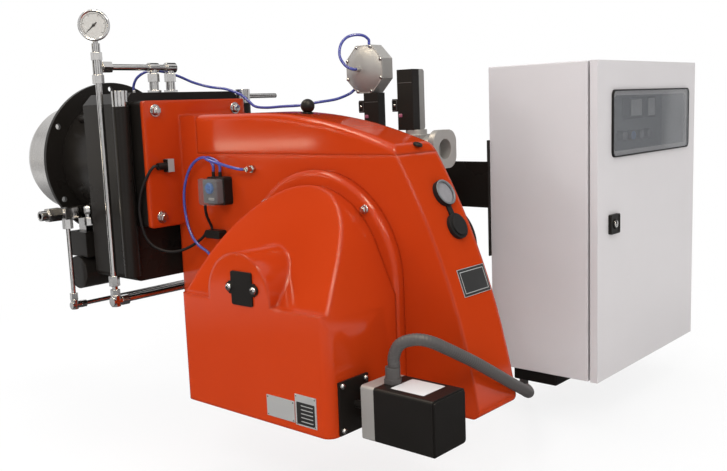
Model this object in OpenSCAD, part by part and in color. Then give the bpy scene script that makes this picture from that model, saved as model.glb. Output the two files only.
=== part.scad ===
// Dual fuel industrial burner with its control cabinet.
// X runs along the burner axis with the blast tube toward -X, Y points away from the air intake, Z is up.
// The origin is the centre of the flange face that meets the boiler. Sizes are in millimetres.

/* [Flange and blast tube] */
// Diameter of the round flange that bolts to the boiler
flange_d = 366; // [350:1:420]
// Thickness of that flange
flange_t = 10; // [6:1:16]
// Diameter of the circle that the flange bolts stand on
flange_bolt_circle = 336; // [320:1:340]
// Number of flange bolts
flange_bolts = 6; // [4:1:12]
// Diameter of a flange bolt hole
flange_hole_d = 13; // [9:1:17]
// Outside diameter of the blast tube
tube_d = 262; // [240:1:280]
// Length of the blast tube in front of the flange
tube_len = 178; // [120:1:300]
// Wall of the blast tube
tube_wall = 3; // [2:0.5:6]
// Length of the tapered lip at the mouth of the tube
tube_lip = 18; // [8:1:40]
// How far the lip draws in
tube_lip_draw = 7; // [2:1:15]

/* [Flame head] */
// Diameter of the swirl plate
swirl_d = 186; // [140:1:196]
// Thickness of the swirl plate
swirl_t = 3; // [2:0.5:6]
// How far the swirl plate sits behind the mouth of the tube
swirl_back = 52; // [30:1:90]
// Number of vanes in the swirl plate
swirl_vanes = 16; // [8:1:24]
// Angle of a vane to the plate
vane_angle = 28; // [15:1:40]
// Diameter of the oil lance
lance_d = 46; // [30:1:60]
// Number of gas lances round the swirl plate
gas_lances = 8; // [6:1:12]
// Diameter of a gas lance
gas_lance_d = 18; // [12:1:22]

/* [Head body] */
// Diameter of the neck behind the flange
neck_d = 284; // [272:1:300]
// Length of the neck
neck_len = 135; // [90:1:180]
// Length of the box behind the neck
head_len = 152; // [120:1:200]
// Width of the box
head_w = 320; // [310:1:340]
// Height of the box above the burner axis
head_top = 150; // [142:1:165]
// Depth of the box below the burner axis
head_drop = 248; // [200:1:280]
// Bevel along the top edges of the box
head_bevel = 22; // [8:1:40]
// Radius of the lower edges of the box
head_round = 14; // [4:1:30]
// Length of the frame that carries the fan housing
frame_len = 38; // [20:1:60]
// Diameter of a hinge column
hinge_d = 34; // [26:1:40]
// Distance of a hinge column from the burner axis
hinge_off = 167; // [160:1:175]
// Height of the column tops above the burner axis
hinge_top = 122; // [100:1:135]
// Height of a hinge pin head
pin_head_h = 32; // [20:1:45]
// Length of the handle on the far hinge pin
pin_handle_len = 104; // [60:1:130]
// Diameter of that handle
pin_handle_d = 11; // [8:1:14]

/* [Fan housing] */
// Width of the square mating plate
plate_w = 270; // [262:1:290]
// How far the middle of the plate lies off the burner axis, toward the near side
plate_off = 10; // [0:1:14]
// Height of the mating plate
plate_h = 264; // [250:1:270]
// Thickness of the mating plate
plate_t = 12; // [8:1:18]
// Distance between the plate bolts across the burner
plate_bolt_w = 215; // [200:1:230]
// Distance between the plate bolts up the plate
plate_bolt_h = 222; // [200:1:230]
// Diameter of a plate bolt hole
plate_hole_d = 13; // [9:1:16]
// Thickness of the scroll, wall to wall
scroll_t = 115; // [100:1:140]
// Length of the scroll along its bottom
scroll_len = 750; // [700:1:800]
// Depth of the scroll below the burner axis
scroll_drop = 417; // [405:1:440]
// Height of the scroll roof above the burner axis
scroll_top = 99; // [94:1:106]
// Radius of the curved rear wall
rear_r = 1190; // [1000:1:1500]
// Lean of the rear wall from upright at its foot
rear_lean = 8.9; // [5:0.1:12]
// Rounding of the foot of the rear wall
rear_round = 14; // [6:1:24]
// Radius of the curved roof
roof_r = 1050; // [900:1:1300]
// Radius of the lower corners of the scroll
scroll_round = 30; // [10:1:60]
// How far the lower scroll reaches ahead of the mating plate
scroll_lead = 10; // [4:1:20]
// Height of the seam between the scroll and its top cover above the burner axis
seam_up = 19; // [8:1:22]
// Distance of the front of the top cover behind the mating plate
cover_front = 54; // [30:1:90]
// Rounding of the long upper edges of the top cover
cover_round = 14; // [6:1:20]
// Distance of the ball knob behind the mating plate
knob_back = 326; // [290:1:360]
// Diameter of the ball knob
knob_d = 27; // [20:1:36]

/* [Air intake] */
// Distance of the fan axis behind the mating plate
fan_back = 407; // [390:1:425]
// Depth of the fan axis below the burner axis
fan_drop = 199; // [192:1:210]
// Radius of the inlet drum
drum_r = 191; // [182:1:198]
// Height of the inlet drum on the scroll wall
drum_h = 21; // [14:1:30]
// Rounding of the drum rim
drum_round = 9; // [4:1:13]
// Radius of the arched top of the hood
hood_r = 165; // [155:1:172]
// Radius of the shoulders between the arch and the upright sides
shoulder_r = 90; // [50:1:110]
// Distance from the drum to the start of the hood's slope
hood_lip = 8; // [4:1:20]
// Depth of the flat ledge at the foot of the slope
hood_ledge = 15; // [6:1:30]
// How far the upright sides draw in toward the drum
side_draw = 12; // [4:1:18]
// Width of the intake box
intake_w = 367; // [340:1:376]
// Reach of the intake box from the scroll wall
intake_reach = 208; // [180:1:240]
// Height of the flat front of the intake box
intake_front_h = 199; // [160:1:220]
// Rounding of the upright edges of the intake box
intake_round = 18; // [8:1:26]
// Radius of the round topped boss on the front
boss_r = 78; // [60:1:90]
// Width of the air opening in the floor of the intake
air_w = 300; // [240:1:320]
// Depth of the air opening in the floor of the intake
air_d = 120; // [80:1:140]
// Height of the open space inside the intake
air_h = 150; // [80:1:170]
// Number of guard bars across the air opening
guard_bars = 9; // [5:1:15]
// Diameter of a guard bar
guard_bar_d = 5; // [3:0.5:8]
// Width of the cover plate on the boss
cover_w = 52; // [40:1:70]
// Height of the cover plate on the boss
cover_h = 58; // [44:1:70]
// Thickness of the cover plate
cover_t = 3; // [2:0.5:6]

/* [Damper servo] */
// Width of the square servo plate
servo_plate_w = 70; // [60:1:90]
// Height of the servo plate
servo_plate_h = 88; // [70:1:110]
// Gap between the servo plate and the servo
servo_gap = 32; // [20:1:45]
// Length of the cast servo base
servo_base_len = 26; // [18:1:40]
// Length of the servo cover
servo_cover_len = 116; // [90:1:140]
// Width of the servo
servo_w = 83; // [70:1:95]
// Height of the servo
servo_h = 88; // [75:1:100]
// Rounding of the servo edges
servo_round = 5; // [2:0.5:10]
// Diameter of the cable gland on the servo
gland_d = 28; // [22:1:34]
// Height of that gland
gland_h = 26; // [18:1:34]

/* [Sight glass] */
// Diameter of the sight glass ring
sight_d = 48; // [42:1:60]
// Diameter of the glass
sight_lens_d = 40; // [30:1:42]
// Distance of the sight glass down the rear wall below the seam
sight_down = 82; // [60:1:100]
// Distance of the sight glass from the middle of the rear wall
sight_side = 16; // [0:1:24]
// Distance of the open cap below the sight glass
sight_cap_down = 62; // [56:1:72]

/* [Fan motor] */
// Diameter of the motor over its fins
motor_d = 186; // [150:1:200]
// Length of the finned motor body
motor_len = 190; // [150:1:210]
// Number of motor fins
motor_fins = 32; // [16:2:44]
// Depth of a fin
fin_h = 10; // [5:1:16]
// Thickness of a fin
fin_t = 4; // [2:0.5:5]
// Diameter of the motor flange
motor_flange_d = 250; // [220:1:280]
// Length of the motor fan cowl
cowl_len = 62; // [45:1:75]

/* [Gas train] */
// Distance of the gas valve axis from the burner axis
gas_off = 232; // [222:1:260]
// Height of the gas valve axis above the burner axis
gas_up = 12; // [0:1:30]
// Outside diameter of the gas pipe
gas_pipe_d = 60; // [42:1:76]
// Distance of the gas pipe elbow behind the flange
gas_pipe_x = 220; // [190:1:240]
// Length of the gas valve body
valve_len = 240; // [220:1:280]
// Diameter of the gas inlet in the end of the valve
gas_inlet_d = 41; // [30:1:46]
// Depth of the gas inlet
gas_inlet_len = 26; // [16:1:34]
// Distance from the flange to the middle of the first valve
valve_first_x = 661; // [640:1:690]
// Distance between the two valves
valve_pitch = 96; // [90:1:110]
// Width of the valve actuators
actuator_w = 40; // [32:1:50]
// Height of the actuator tops above the burner axis
actuator_top = 175; // [150:1:200]
// Diameter of the regulator dome
dome_d = 100; // [80:1:120]
// Height of the dome centre above the burner axis
dome_up = 181; // [170:1:200]
// Rise of the domed front of the regulator
dome_rise = 16; // [10:1:22]

/* [Cabinet] */
// Height of the control cabinet
cab_h = 650; // [560:1:720]
// Width of the cabinet
cab_w = 500; // [400:1:560]
// Depth of the cabinet without its door
cab_d = 229; // [180:1:260]
// Thickness of the cabinet sheet
cab_wall = 2; // [1.5:0.5:4]
// Distance of the cabinet back from the flange
cab_x = 834; // [820:1:860]
// Distance of the cabinet from the burner axis
cab_y = 387; // [380:1:420]
// Depth of the cabinet floor below the burner axis
cab_drop = 474; // [440:1:500]
// Thickness of the door
door_t = 16; // [12:1:24]
// Gap between the door and the cabinet
door_gap = 5; // [4:0.5:8]
// Width of the window in the door
window_w = 390; // [300:1:400]
// Height of the window
window_h = 132; // [100:1:180]
// Distance of the window middle below the top of the cabinet
window_drop = 126; // [112:1:160]
// Corner radius of the window
window_round = 10; // [4:1:20]
// Thickness of the window pane
pane_t = 4; // [3:0.5:6]
// Width of the square plate of the door lock
lock_d = 40; // [30:1:46]
// Height of the door lock above the cabinet floor
lock_up = 321; // [240:1:340]
// Distance of the lock from the near edge of the door
lock_in = 68; // [50:1:80]
// Diameter of a door hinge pin
hinge_pin_d = 6; // [5:0.5:7]
// Diameter of a door hinge knuckle
knuckle_d = 11; // [10:0.5:12]
// Length of a door hinge knuckle
knuckle_len = 46; // [30:1:70]
// Distance of a door hinge from the end of the door
hinge_in = 90; // [60:1:140]
// Thickness of the cabinet bracket
bracket_t = 4; // [3:0.5:8]
// Height of the bracket web
bracket_h = 100; // [70:1:120]

/* [Oil line] */
// Distance of the gauge pipe behind the flange
riser_x = 245; // [240:1:255]
// Distance of the gauge pipe from the burner axis
riser_off = 180; // [176:1:186]
// Diameter of the oil pipes
pipe_d = 15; // [10:1:18]
// Height of the cross pipe above the burner axis
cross_up = 205; // [196:1:220]
// Depth of the lower oil pipes below the burner axis
sump_drop = 292; // [275:1:310]
// Depth of the pump's return pipe below the burner axis
return_drop = 317; // [300:1:330]
// Diameter of the pressure gauge
gauge_d = 63; // [50:1:80]
// Thickness of the pressure gauge
gauge_t = 24; // [18:1:32]
// Turn of the gauge face toward the operator
gauge_turn = 55; // [30:1:75]
// Height of the gauge centre above the cross pipe
gauge_up = 84; // [74:1:100]
// Diameter of the oil inlet in the hose union
oil_inlet_d = 13; // [8:0.5:15]
// Depth of the oil inlet
oil_inlet_len = 30; // [15:1:40]
// Distance of the oil pump behind the flange
pump_x = 92; // [80:1:100]
// Diameter of the round part of the oil pump
pump_d = 74; // [60:1:84]

/* [Air switch] */
// Width of the air pressure switch
switch_w = 54; // [46:1:70]
// Height of the air pressure switch
switch_h = 57; // [45:1:70]
// Depth of the black back of the switch
switch_back = 22; // [16:1:30]
// Depth of the clear cover of the switch
switch_cover_t = 24; // [16:1:32]

/* [Hidden] */
$fn = 64;
touch = 0.2;
eps = 0.01;
orange = [0.75, 0.22, 0.08];
black = [0.08, 0.07, 0.07];
chrome = [0.75, 0.75, 0.74];
cast_grey = [0.6, 0.58, 0.56];
cabinet_grey = [0.77, 0.75, 0.74];
hose_blue = [0.27, 0.3, 0.6];

// Head body stations along the burner axis
head_x0 = flange_t + neck_len;
head_x1 = head_x0 + head_len;
plate_x0 = head_x1 + frame_len;
plate_x1 = plate_x0 + plate_t;

// Scroll walls and corners
near_y = -scroll_t / 2;
far_y = scroll_t / 2;
floor_z = -scroll_drop;
rear_x = plate_x0 + scroll_len + plate_t;
// Centre of the roof arc, which is level a third of the way along
roof_x = plate_x1 + 223;
roof_z = scroll_top - roof_r;
scroll_x0 = plate_x0 - scroll_lead;
seam_z = seam_up;
// Centre of the rear wall's arc, and the turn of its radius at the seam
wall_x = rear_x - rear_r * cos(rear_lean);
wall_z = floor_z - rear_r * sin(rear_lean);
seam_turn = asin((seam_z - wall_z) / rear_r);
// Centre of the rounding at the wall's foot, and the turn at which it meets the wall
foot_z = floor_z + rear_round;
foot_x = wall_x + sqrt(pow(rear_r - rear_round, 2) - pow(foot_z - wall_z, 2));
foot_turn = asin((foot_z - wall_z) / (rear_r - rear_round));
cover_x0 = plate_x1 + cover_front;
knob_x = plate_x1 + knob_back;

// Fan axis and intake
fan_x = plate_x1 + fan_back;
fan_z = -fan_drop;
drum_y = near_y - drum_h;
front_y = near_y - intake_reach;
intake_x0 = fan_x + 17 - intake_w / 2;
intake_x1 = intake_x0 + intake_w;
front_top_z = floor_z + intake_front_h;
hood_top_z = fan_z + hood_r;
shoulder_z = front_top_z - shoulder_r / 2;
boss_x = fan_x - 4;
boss_z = front_top_z + 8;
air_y = front_y + 24 + air_d / 2;

// Servo on the rear side of the intake
servo_plate_y = front_y + 55;
servo_plate_z = floor_z + servo_plate_h / 2 + 2;
servo_x0 = intake_x1 + 4 + servo_gap;
servo_x1 = servo_x0 + servo_base_len;
servo_x2 = servo_x1 + servo_cover_len;
servo_y = servo_plate_y + 21;
servo_z = servo_plate_z - 1;
gland_x = servo_x1 + 8;

// Cabinet corners
cab_x1 = cab_x + cab_d;
cab_y1 = cab_y + cab_w;
cab_z0 = -cab_drop;
cab_z1 = cab_z0 + cab_h;
door_x0 = cab_x1 + door_gap;
door_x1 = door_x0 + door_t;
window_y = cab_y + cab_w / 2 + 8;
door_rim = 12;
window_up = cab_z1 - window_drop;
lock_z = cab_z0 + lock_up;
hinge_x = door_x0 + 7;
hinge_y = cab_y1 - 6;
hinge_z = [cab_z0 + hinge_in, cab_z1 - hinge_in - knuckle_len];
panel_x = cab_x1 - 60;

// Gas train stations
valve_x0 = valve_first_x - 72;
valve_x1 = valve_x0 + valve_len;
valve_second_x = valve_first_x + valve_pitch;
dome_cap_r = (pow(dome_d / 2 - 2, 2) + pow(dome_rise, 2)) / (2 * dome_rise);
gas_front_y = gas_off - 22;

// Oil line stations
riser_y = -riser_off;
nozzle_y = [-42, 2];
sump_z = -sump_drop;
return_z = -return_drop;
pump_y = -138;
pump_z = -182;
oil_block_z = pump_z + 62;
oil_drop_y = -190;

// Air switch and near wall fittings
switch_x = plate_x1 + 133;
switch_z = -55;
switch_nip_x = [switch_x - 15, switch_x + 6];
wall_nip = [[plate_x1 + 226, -10, -90], [plate_x1 + 104, -205, -45]];
plug_x = plate_x1 + 86;
plug_z = -146;
head_nip = [head_x0 + 49, -60];

// Cord diameters and hand placed routes
conduit_d = 20;
hose_d = 6;
cable_d = 6;
conduit_route = [[1025, -188, -302], [1025, -188, -286], [1035, -187, -267], [1051, -182, -258],
    [1069, -174, -256], [1082, -160, -262], [1090, -138, -275], [1095, -110, -291], [1101, -74, -312],
    [1106, -32, -338], [1108, 14, -366], [1102, 66, -394], [1074, 132, -424], [1020, 226, -458],
    [958, 322, -490], [922, 376, -514], [905, 405, -525], [896, 414, -516], [896, 414, -500]];
switch_hose_route = [[465, -70, -16], [465, -70, -4], [453, -71, 8], [434, -72, 12], [408, -73, 2],
    [386, -73, -19], [371, -73, -49], [367, -74, -80], [373, -76, -114], [391, -81, -146], [413, -81, -169],
    [431, -71.5, -185], [442.5, -71.5, -196.5]];
wall_hose_route = [[486, -70, -16], [486, -70, -6], [480, -72, 5], [469, -80, 12], [467, -90, 13],
    [481, -95, 9], [503, -90, 3], [526, -79, -5], [547, -71.5, -10], [561, -71.5, -10]];
switch_cable_route = [[457, -90, -82], [457, -90, -94], [453, -84, -108], [448, -74, -122], [447, -69, -131],
    [447, -69, -137]];
sensor_cable_route = [[355, -126, -4], [355, -137, -4], [346, -147, -22], [331, -153, -52], [320, -154, -86],
    [319, -152, -120], [323, -145, -152], [333, -134, -172], [348, -118, -183], [366, -101, -185],
    [385, -86, -178], [403, -74, -166], [419, -68, -153], [425, -68, -146], [433, -68, -146]];
dome_hose_route = [[639, 184, 181], [639, 174, 181], [628, 164, 189], [616, 161, 208], [614, 166, 230],
    [621, 176, 246], [634, 190, 252], [646, 204, 250], [651, 214, 242], [651, 215, 237], [651, 215, 231]];
impulse_hose_route = [[194, -60, 158], [194, -60, 168], [202, -57, 183], [214, -48, 194], [219, -32, 199],
    [218, 2, 198], [222, 42, 188], [230, 78, 173], [252, 106, 162], [292, 122, 155], [332, 128, 142],
    [360, 128, 126], [388, 122, 113], [430, 116, 109], [484, 114, 110], [534, 120, 111], [562, 146, 116],
    [578, 184, 121], [588, 212, 130], [596, 222, 138], [603.6, 222, 145.6]];

// Cylinder along +X from the origin
module x_rod(d, len) {
    rotate([0, 90, 0]) cylinder(d = d, h = len);
}

// Cylinder along +Y from the origin
module y_rod(d, len) {
    rotate([-90, 0, 0]) cylinder(d = d, h = len);
}

// Block between two corners
module block(lo, hi) {
    translate(lo) cube(hi - lo);
}

// Centred rectangle with round corners
module round_rect(w, h, r) {
    square([w - 2 * r, h], center = true);
    square([w, h - 2 * r], center = true);
    for (sx = [-1, 1], sy = [-1, 1]) translate([sx * (w / 2 - r), sy * (h / 2 - r)]) circle(r);
}

// Outline in X and Z made into a slab between two Y values
module xz_slab(y0, y1) {
    translate([0, y1, 0]) rotate([90, 0, 0]) linear_extrude(y1 - y0) children();
}

// Outline in Y and Z made into a slab between two X values
module yz_slab(x0, x1) {
    translate([x0, 0, 0]) rotate([90, 0, 90]) linear_extrude(x1 - x0) children();
}

// Six sided fitting nut along +Z
module nut(across, h) {
    cylinder(d = across / cos(30), h = h, $fn = 6);
}

// Cross product, length and unit of plain vectors
function unit(v) = v / norm(v);
function side_of(t) = unit(cross(t, abs(t[2]) > 0.9 ? [1, 0, 0] : [0, 0, 1]));

// Tube swept through a list of points
module cord(route, d, sides = 10) {
    count = len(route);
    rings = [for (i = [0:count - 1])
        let (ahead = route[min(i + 1, count - 1)], behind = route[max(i - 1, 0)],
            t = unit(ahead - behind), s = side_of(t), u = cross(s, t))
        for (k = [0:sides - 1]) route[i] + d / 2 * (cos(360 * k / sides) * s + sin(360 * k / sides) * u)];
    skin = [for (i = [0:count - 2], k = [0:sides - 1])
        let (a = i * sides + k, b = i * sides + (k + 1) % sides)
            each [[a, b, b + sides], [a, b + sides, a + sides]]];
    start = [[for (k = [0:sides - 1]) sides - 1 - k]];
    end = [[for (k = [0:sides - 1]) (count - 1) * sides + k]];
    polyhedron(points = rings, faces = concat(skin, start, end));
}

// Places on a bolt circle in the YZ plane
module on_circle(count, r, x, first = 90) {
    for (i = [0:count - 1]) {
        a = first + i * 360 / count;
        translate([x, r * cos(a), r * sin(a)]) children();
    }
}

module boiler_flange() {
    color(black) difference() {
        x_rod(flange_d, flange_t);
        translate([-1, 0, 0]) x_rod(tube_d + touch, flange_t + 2);
        on_circle(flange_bolts, flange_bolt_circle / 2, -1) x_rod(flange_hole_d, flange_t + 2);
    }
}

// Tube that runs through the flange to the neck
module blast_tube() {
    outer = tube_d / 2;
    color(chrome) rotate([0, -90, 0]) rotate_extrude($fn = 96) polygon([
        [outer - tube_wall, -flange_t],
        [outer, -flange_t],
        [outer, tube_len - tube_lip],
        [outer - tube_lip_draw, tube_len],
        [outer - tube_lip_draw - tube_wall, tube_len],
        [outer - tube_wall, tube_len - tube_lip]]);
}

// Rimmed plate pierced by slots, with a tilted vane standing at each slot
module swirl_plate() {
    x = swirl_back - tube_len;
    r = swirl_d / 2;
    slot_in = lance_d / 2 + 16;
    slot_out = r - 12;
    slot_w = 7;
    lean = 11.5 * tan(vane_angle);
    color(chrome) {
        difference() {
            translate([x, 0, 0]) rotate([0, 90, 0]) rotate_extrude($fn = 96) polygon([[lance_d / 2, 0],
                [r, 0], [r, 16], [r - 2, 16], [r - 2, swirl_t], [lance_d / 2, swirl_t]]);
            for (i = [0:swirl_vanes - 1]) rotate([i * 360 / swirl_vanes, 0, 0])
                block([x - 1, -slot_w / 2, slot_in], [x + swirl_t + 1, slot_w / 2, slot_out]);
        }
        for (i = [0:swirl_vanes - 1]) rotate([i * 360 / swirl_vanes, 0, 0]) translate([x, 4.2, slot_in + 1])
            linear_extrude(slot_out - slot_in - 2)
                polygon([[1.5, 0], [1.5, 2], [-10, 2 - lean], [-10, -lean]]);
    }
}

// Lance that carries the swirl plate, with the oil nozzle at its tip
module oil_lance() {
    tip = swirl_back - tube_len;
    color(chrome) {
        translate([tip, 0, 0]) x_rod(lance_d, flange_t - tip);
        translate([tip - 14, 0, 0]) x_rod(24, 14 + eps);
        translate([tip - 22, 0, 0]) rotate([0, 90, 0]) cylinder(d1 = 10, d2 = 20, h = 8 + eps);
    }
}

module gas_lance_ring() {
    r = (swirl_d / 2 + tube_d / 2 - tube_wall - tube_lip_draw) / 2;
    tip = swirl_back - tube_len + 6;
    color(chrome) on_circle(gas_lances, r, tip, 0) difference() {
        x_rod(gas_lance_d, flange_t - tip);
        translate([-1, 0, 0]) x_rod(gas_lance_d - 4, 31);
    }
}

// Neck, box and frame of the burner head with a hinge column on each side
module head_body() {
    w = head_w / 2;
    color(black) difference() {
        union() {
            translate([flange_t, 0, 0]) x_rod(neck_d, neck_len + eps);
            yz_slab(head_x0, head_x1) {
                polygon([[-w, head_round - head_drop], [w, head_round - head_drop],
                    [w, head_top - head_bevel], [w - head_bevel, head_top],
                    [head_bevel - w, head_top], [-w, head_top - head_bevel]]);
                translate([head_round - w, -head_drop]) square([head_w - 2 * head_round, 2 * head_round]);
                for (s = [-1, 1]) translate([s * (w - head_round), head_round - head_drop])
                    circle(head_round);
            }
            yz_slab(head_x1 - eps, plate_x0) translate([-plate_off, 0]) round_rect(plate_w, plate_h, 8);
            for (s = [-1, 1]) translate([head_x1, s * hinge_off, -head_drop + head_round])
                cylinder(d = hinge_d, h = head_drop - head_round + hinge_top);
        }
        for (s = [-1, 1]) translate([head_x1, s * hinge_off, hinge_top]) {
            translate([0, 0, -60]) cylinder(d = 16, h = 61);
            cylinder(d = hinge_d + 4, h = head_top);
        }
    }
}

// Pin with a turned head that drops into a hinge column
module pin_body(side) {
    translate([head_x1, side * hinge_off, hinge_top]) {
        cylinder(d = hinge_d - 1, h = pin_head_h);
        translate([0, 0, -55]) cylinder(d = 15.6, h = 55 + eps);
    }
}

module hinge_pin() {
    color(chrome) pin_body(-1);
}

module latch_pin() {
    color(chrome) {
        pin_body(1);
        translate([head_x1, hinge_off, hinge_top + pin_head_h / 2]) y_rod(pin_handle_d, pin_handle_len);
    }
}

// Disc whose rim is the curved rear wall
module rear_disc() {
    translate([wall_x, wall_z]) circle(rear_r, $fn = 720);
}

// Side outline of the scroll up to its curved roof, wider below the mating plate
module scroll_outline() {
    peak = scroll_top - floor_z;
    r = scroll_round;
    past = 2 * rear_round;
    intersection() {
        union() {
            intersection() {
                polygon([[scroll_x0 + r, floor_z], [foot_x, floor_z], [foot_x, foot_z],
                    [foot_x + past * cos(foot_turn), foot_z + past * sin(foot_turn)],
                    [rear_x, scroll_top], [plate_x0, scroll_top], [plate_x0, -plate_h / 2 - 1],
                    [scroll_x0, -plate_h / 2 - 1], [scroll_x0, floor_z + r]]);
                rear_disc();
            }
            translate([scroll_x0 + r, floor_z + r]) circle(r);
            translate([foot_x, foot_z]) circle(rear_round);
        }
        union() {
            translate([roof_x, roof_z]) circle(roof_r, $fn = 360);
            translate([scroll_x0, floor_z]) square([roof_x - scroll_x0, peak]);
        }
    }
}

// Space of the top cover above the seam and in front of the curved rear wall
module cover_zone() {
    xz_slab(near_y - 1, far_y + 1) intersection() {
        translate([cover_x0, seam_z]) square([rear_x - cover_x0, scroll_top + 1 - seam_z]);
        rear_disc();
    }
}

// Scroll under the seam with its mating plate
module fan_housing() {
    color(orange) difference() {
        union() {
            xz_slab(near_y, far_y) scroll_outline();
            yz_slab(plate_x0, plate_x1) translate([-plate_off, 0]) round_rect(plate_w, plate_h, 6);
        }
        block([cover_x0, near_y - 1, seam_z], [rear_x, far_y + 1, scroll_top + 1]);
        for (sy = [-1, 1], sz = [-1, 1]) translate([plate_x0 - 1, sy * plate_bolt_w / 2 - plate_off,
            sz * plate_bolt_h / 2]) x_rod(plate_hole_d, plate_t + 2);
    }
}

// Section across the top cover with its long edges rounded
module cover_section() {
    r = cover_round;
    depth = scroll_top - seam_z + 60;
    translate([near_y, -depth]) square([scroll_t, depth - r]);
    translate([near_y + r, -depth]) square([scroll_t - 2 * r, depth]);
    for (y = [near_y + r, far_y - r]) translate([y, -r]) circle(r);
}

// Cover that is level over the front and then follows the curve of the roof
module top_cover() {
    color(orange) intersection() {
        cover_zone();
        union() {
            yz_slab(cover_x0, roof_x) translate([0, scroll_top]) cover_section();
            translate([roof_x, 0, roof_z]) rotate([90, 0, 0]) rotate([0, 0, 60])
                rotate_extrude(angle = 30, $fn = 360) translate([roof_r, 0]) rotate(-90) cover_section();
        }
    }
}

// Ball knob on a short stem
module cover_knob() {
    lean = asin((knob_x - roof_x) / roof_r);
    color(black) translate([roof_x, 0, roof_z]) rotate([0, lean, 0]) translate([0, 0, roof_r]) {
        cylinder(d = 22, h = 3);
        cylinder(d = 11, h = 8);
        translate([0, 0, knob_d / 2 + 1]) sphere(d = knob_d);
    }
}

// Half section of the drum rim, from the axis outward
module drum_section() {
    square([drum_r, drum_h - drum_round]);
    square([drum_r - drum_round, drum_h]);
    translate([drum_r - drum_round, drum_h - drum_round]) circle(drum_round);
}

// Round topped drum with straight sides that run down to the floor
module inlet_drum() {
    drop = fan_z - floor_z;
    color(orange) translate([fan_x, near_y, fan_z]) intersection() {
        union() {
            rotate([90, 0, 0]) rotate_extrude($fn = 96) intersection() {
                drum_section();
                square([drum_r, drum_h]);
            }
            translate([0, 0, -drop]) linear_extrude(drop) {
                mirror([0, 1]) drum_section();
                mirror([1, 0]) mirror([0, 1]) drum_section();
            }
        }
        block([-drum_r, -drum_h, -drop], [drum_r, 0, drum_r]);
    }
}

// Two circles in the XZ plane joined by their upper tangent, down to a floor
module shoulder_belt(side) {
    edge = side > 0 ? intake_x1 : intake_x0;
    c = [edge - side * shoulder_r, shoulder_z];
    away = c - [fan_x, fan_z];
    turn = atan2(away[1], away[0]) + side * acos((hood_r - shoulder_r) / norm(away));
    dir = [cos(turn), sin(turn)];
    translate(c) circle(shoulder_r);
    polygon([[fan_x, fan_z], [fan_x, fan_z] + hood_r * dir, c + shoulder_r * dir, c, [edge, shoulder_z],
        [edge, floor_z], [fan_x, floor_z]]);
}

// Front view of the intake, an arch that widens through round shoulders to upright sides
module intake_outline() {
    translate([fan_x, fan_z]) circle(hood_r, $fn = 96);
    shoulder_belt(1);
    shoulder_belt(-1);
}

// Plan of the intake with round front edges and sides that draw in toward the drum
module intake_plan() {
    r = intake_round;
    mid_y = (front_y + drum_y) / 2;
    polygon([[intake_x0, front_y + r], [intake_x1, front_y + r], [intake_x1, mid_y],
        [intake_x1 - side_draw, drum_y], [intake_x0 + side_draw, drum_y], [intake_x0, mid_y]]);
    translate([intake_x0 + r, front_y]) square([intake_w - 2 * r, 2 * r]);
    for (x = [intake_x0 + r, intake_x1 - r]) translate([x, front_y + r]) circle(r);
}

// Intake with a hood that slopes from the drum to a ledge above the flat front, and a round topped boss
module intake_box() {
    top = hood_top_z + 1;
    color(orange) difference() {
        union() {
            intersection() {
                xz_slab(front_y, drum_y) intake_outline();
                translate([0, 0, floor_z]) linear_extrude(top - floor_z) intake_plan();
                yz_slab(intake_x0 - 1, intake_x1 + 1) polygon([[drum_y, floor_z], [drum_y, top],
                    [drum_y - hood_lip, top], [front_y + hood_ledge, front_top_z], [front_y, front_top_z],
                    [front_y, floor_z]]);
            }
            intersection() {
                translate([boss_x, front_y, boss_z]) y_rod(2 * boss_r, intake_reach - drum_h);
                xz_slab(front_y, drum_y) intake_outline();
            }
        }
        block([fan_x - air_w / 2, air_y - air_d / 2, floor_z - 1],
            [fan_x + air_w / 2, air_y + air_d / 2, floor_z + air_h]);
    }
}

// Bars let into the long sides of the air opening
module intake_guard() {
    step = air_w / (guard_bars + 1);
    color(black) for (i = [1:guard_bars])
        translate([fan_x - air_w / 2 + i * step, air_y - air_d / 2, floor_z + 8]) y_rod(guard_bar_d, air_d);
}

// Plate with a screw ear on each side
module boss_cover() {
    color(black) xz_slab(front_y - cover_t, front_y) translate([boss_x + 13, boss_z + 18]) {
        round_rect(cover_w, cover_h, 4);
        for (s = [-1, 1]) {
            translate([s * (cover_w / 2 + 5), 0]) circle(9);
            translate([s * cover_w / 2, 0]) square([12, 22], center = true);
        }
    }
}

// Blank plates on the intake front and one on the rear wall
module bare_plates() {
    color(chrome) {
        block([fan_x + 56, front_y - 1, floor_z + 14], [fan_x + 122, front_y, floor_z + 50]);
        block([fan_x + 124, front_y - 1, floor_z + 12], [fan_x + 172, front_y, floor_z + 64]);
    }
    color(black) on_rear_wall(sight_down + 159) block([-42, -24, eps], [37, 24, 1]);
}

// Square plate on the intake side and the rods that carry the servo
module servo_mount() {
    color(black) difference() {
        block([intake_x1, servo_plate_y - servo_plate_w / 2, servo_plate_z - servo_plate_h / 2],
            [intake_x1 + 4, servo_plate_y + servo_plate_w / 2, servo_plate_z + servo_plate_h / 2]);
        for (sy = [-1, 1], sz = [-1, 1]) translate([intake_x1 - 1,
            servo_plate_y + sy * (servo_plate_w / 2 - 7),
            servo_plate_z + sz * (servo_plate_h / 2 - 7)]) x_rod(6, 6);
    }
    color(chrome) {
        translate([intake_x1 + 4 - eps, servo_plate_y + 4, servo_plate_z]) x_rod(13, servo_gap + eps);
        for (sz = [-1, 1]) translate([intake_x1 + 4 - eps, servo_plate_y + 16, servo_plate_z + sz * 22])
            x_rod(8, servo_gap + eps);
    }
}

module servo_base() {
    color(cast_grey) yz_slab(servo_x0, servo_x1) translate([servo_y, servo_z])
        round_rect(servo_w, servo_h, servo_round);
}

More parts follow.
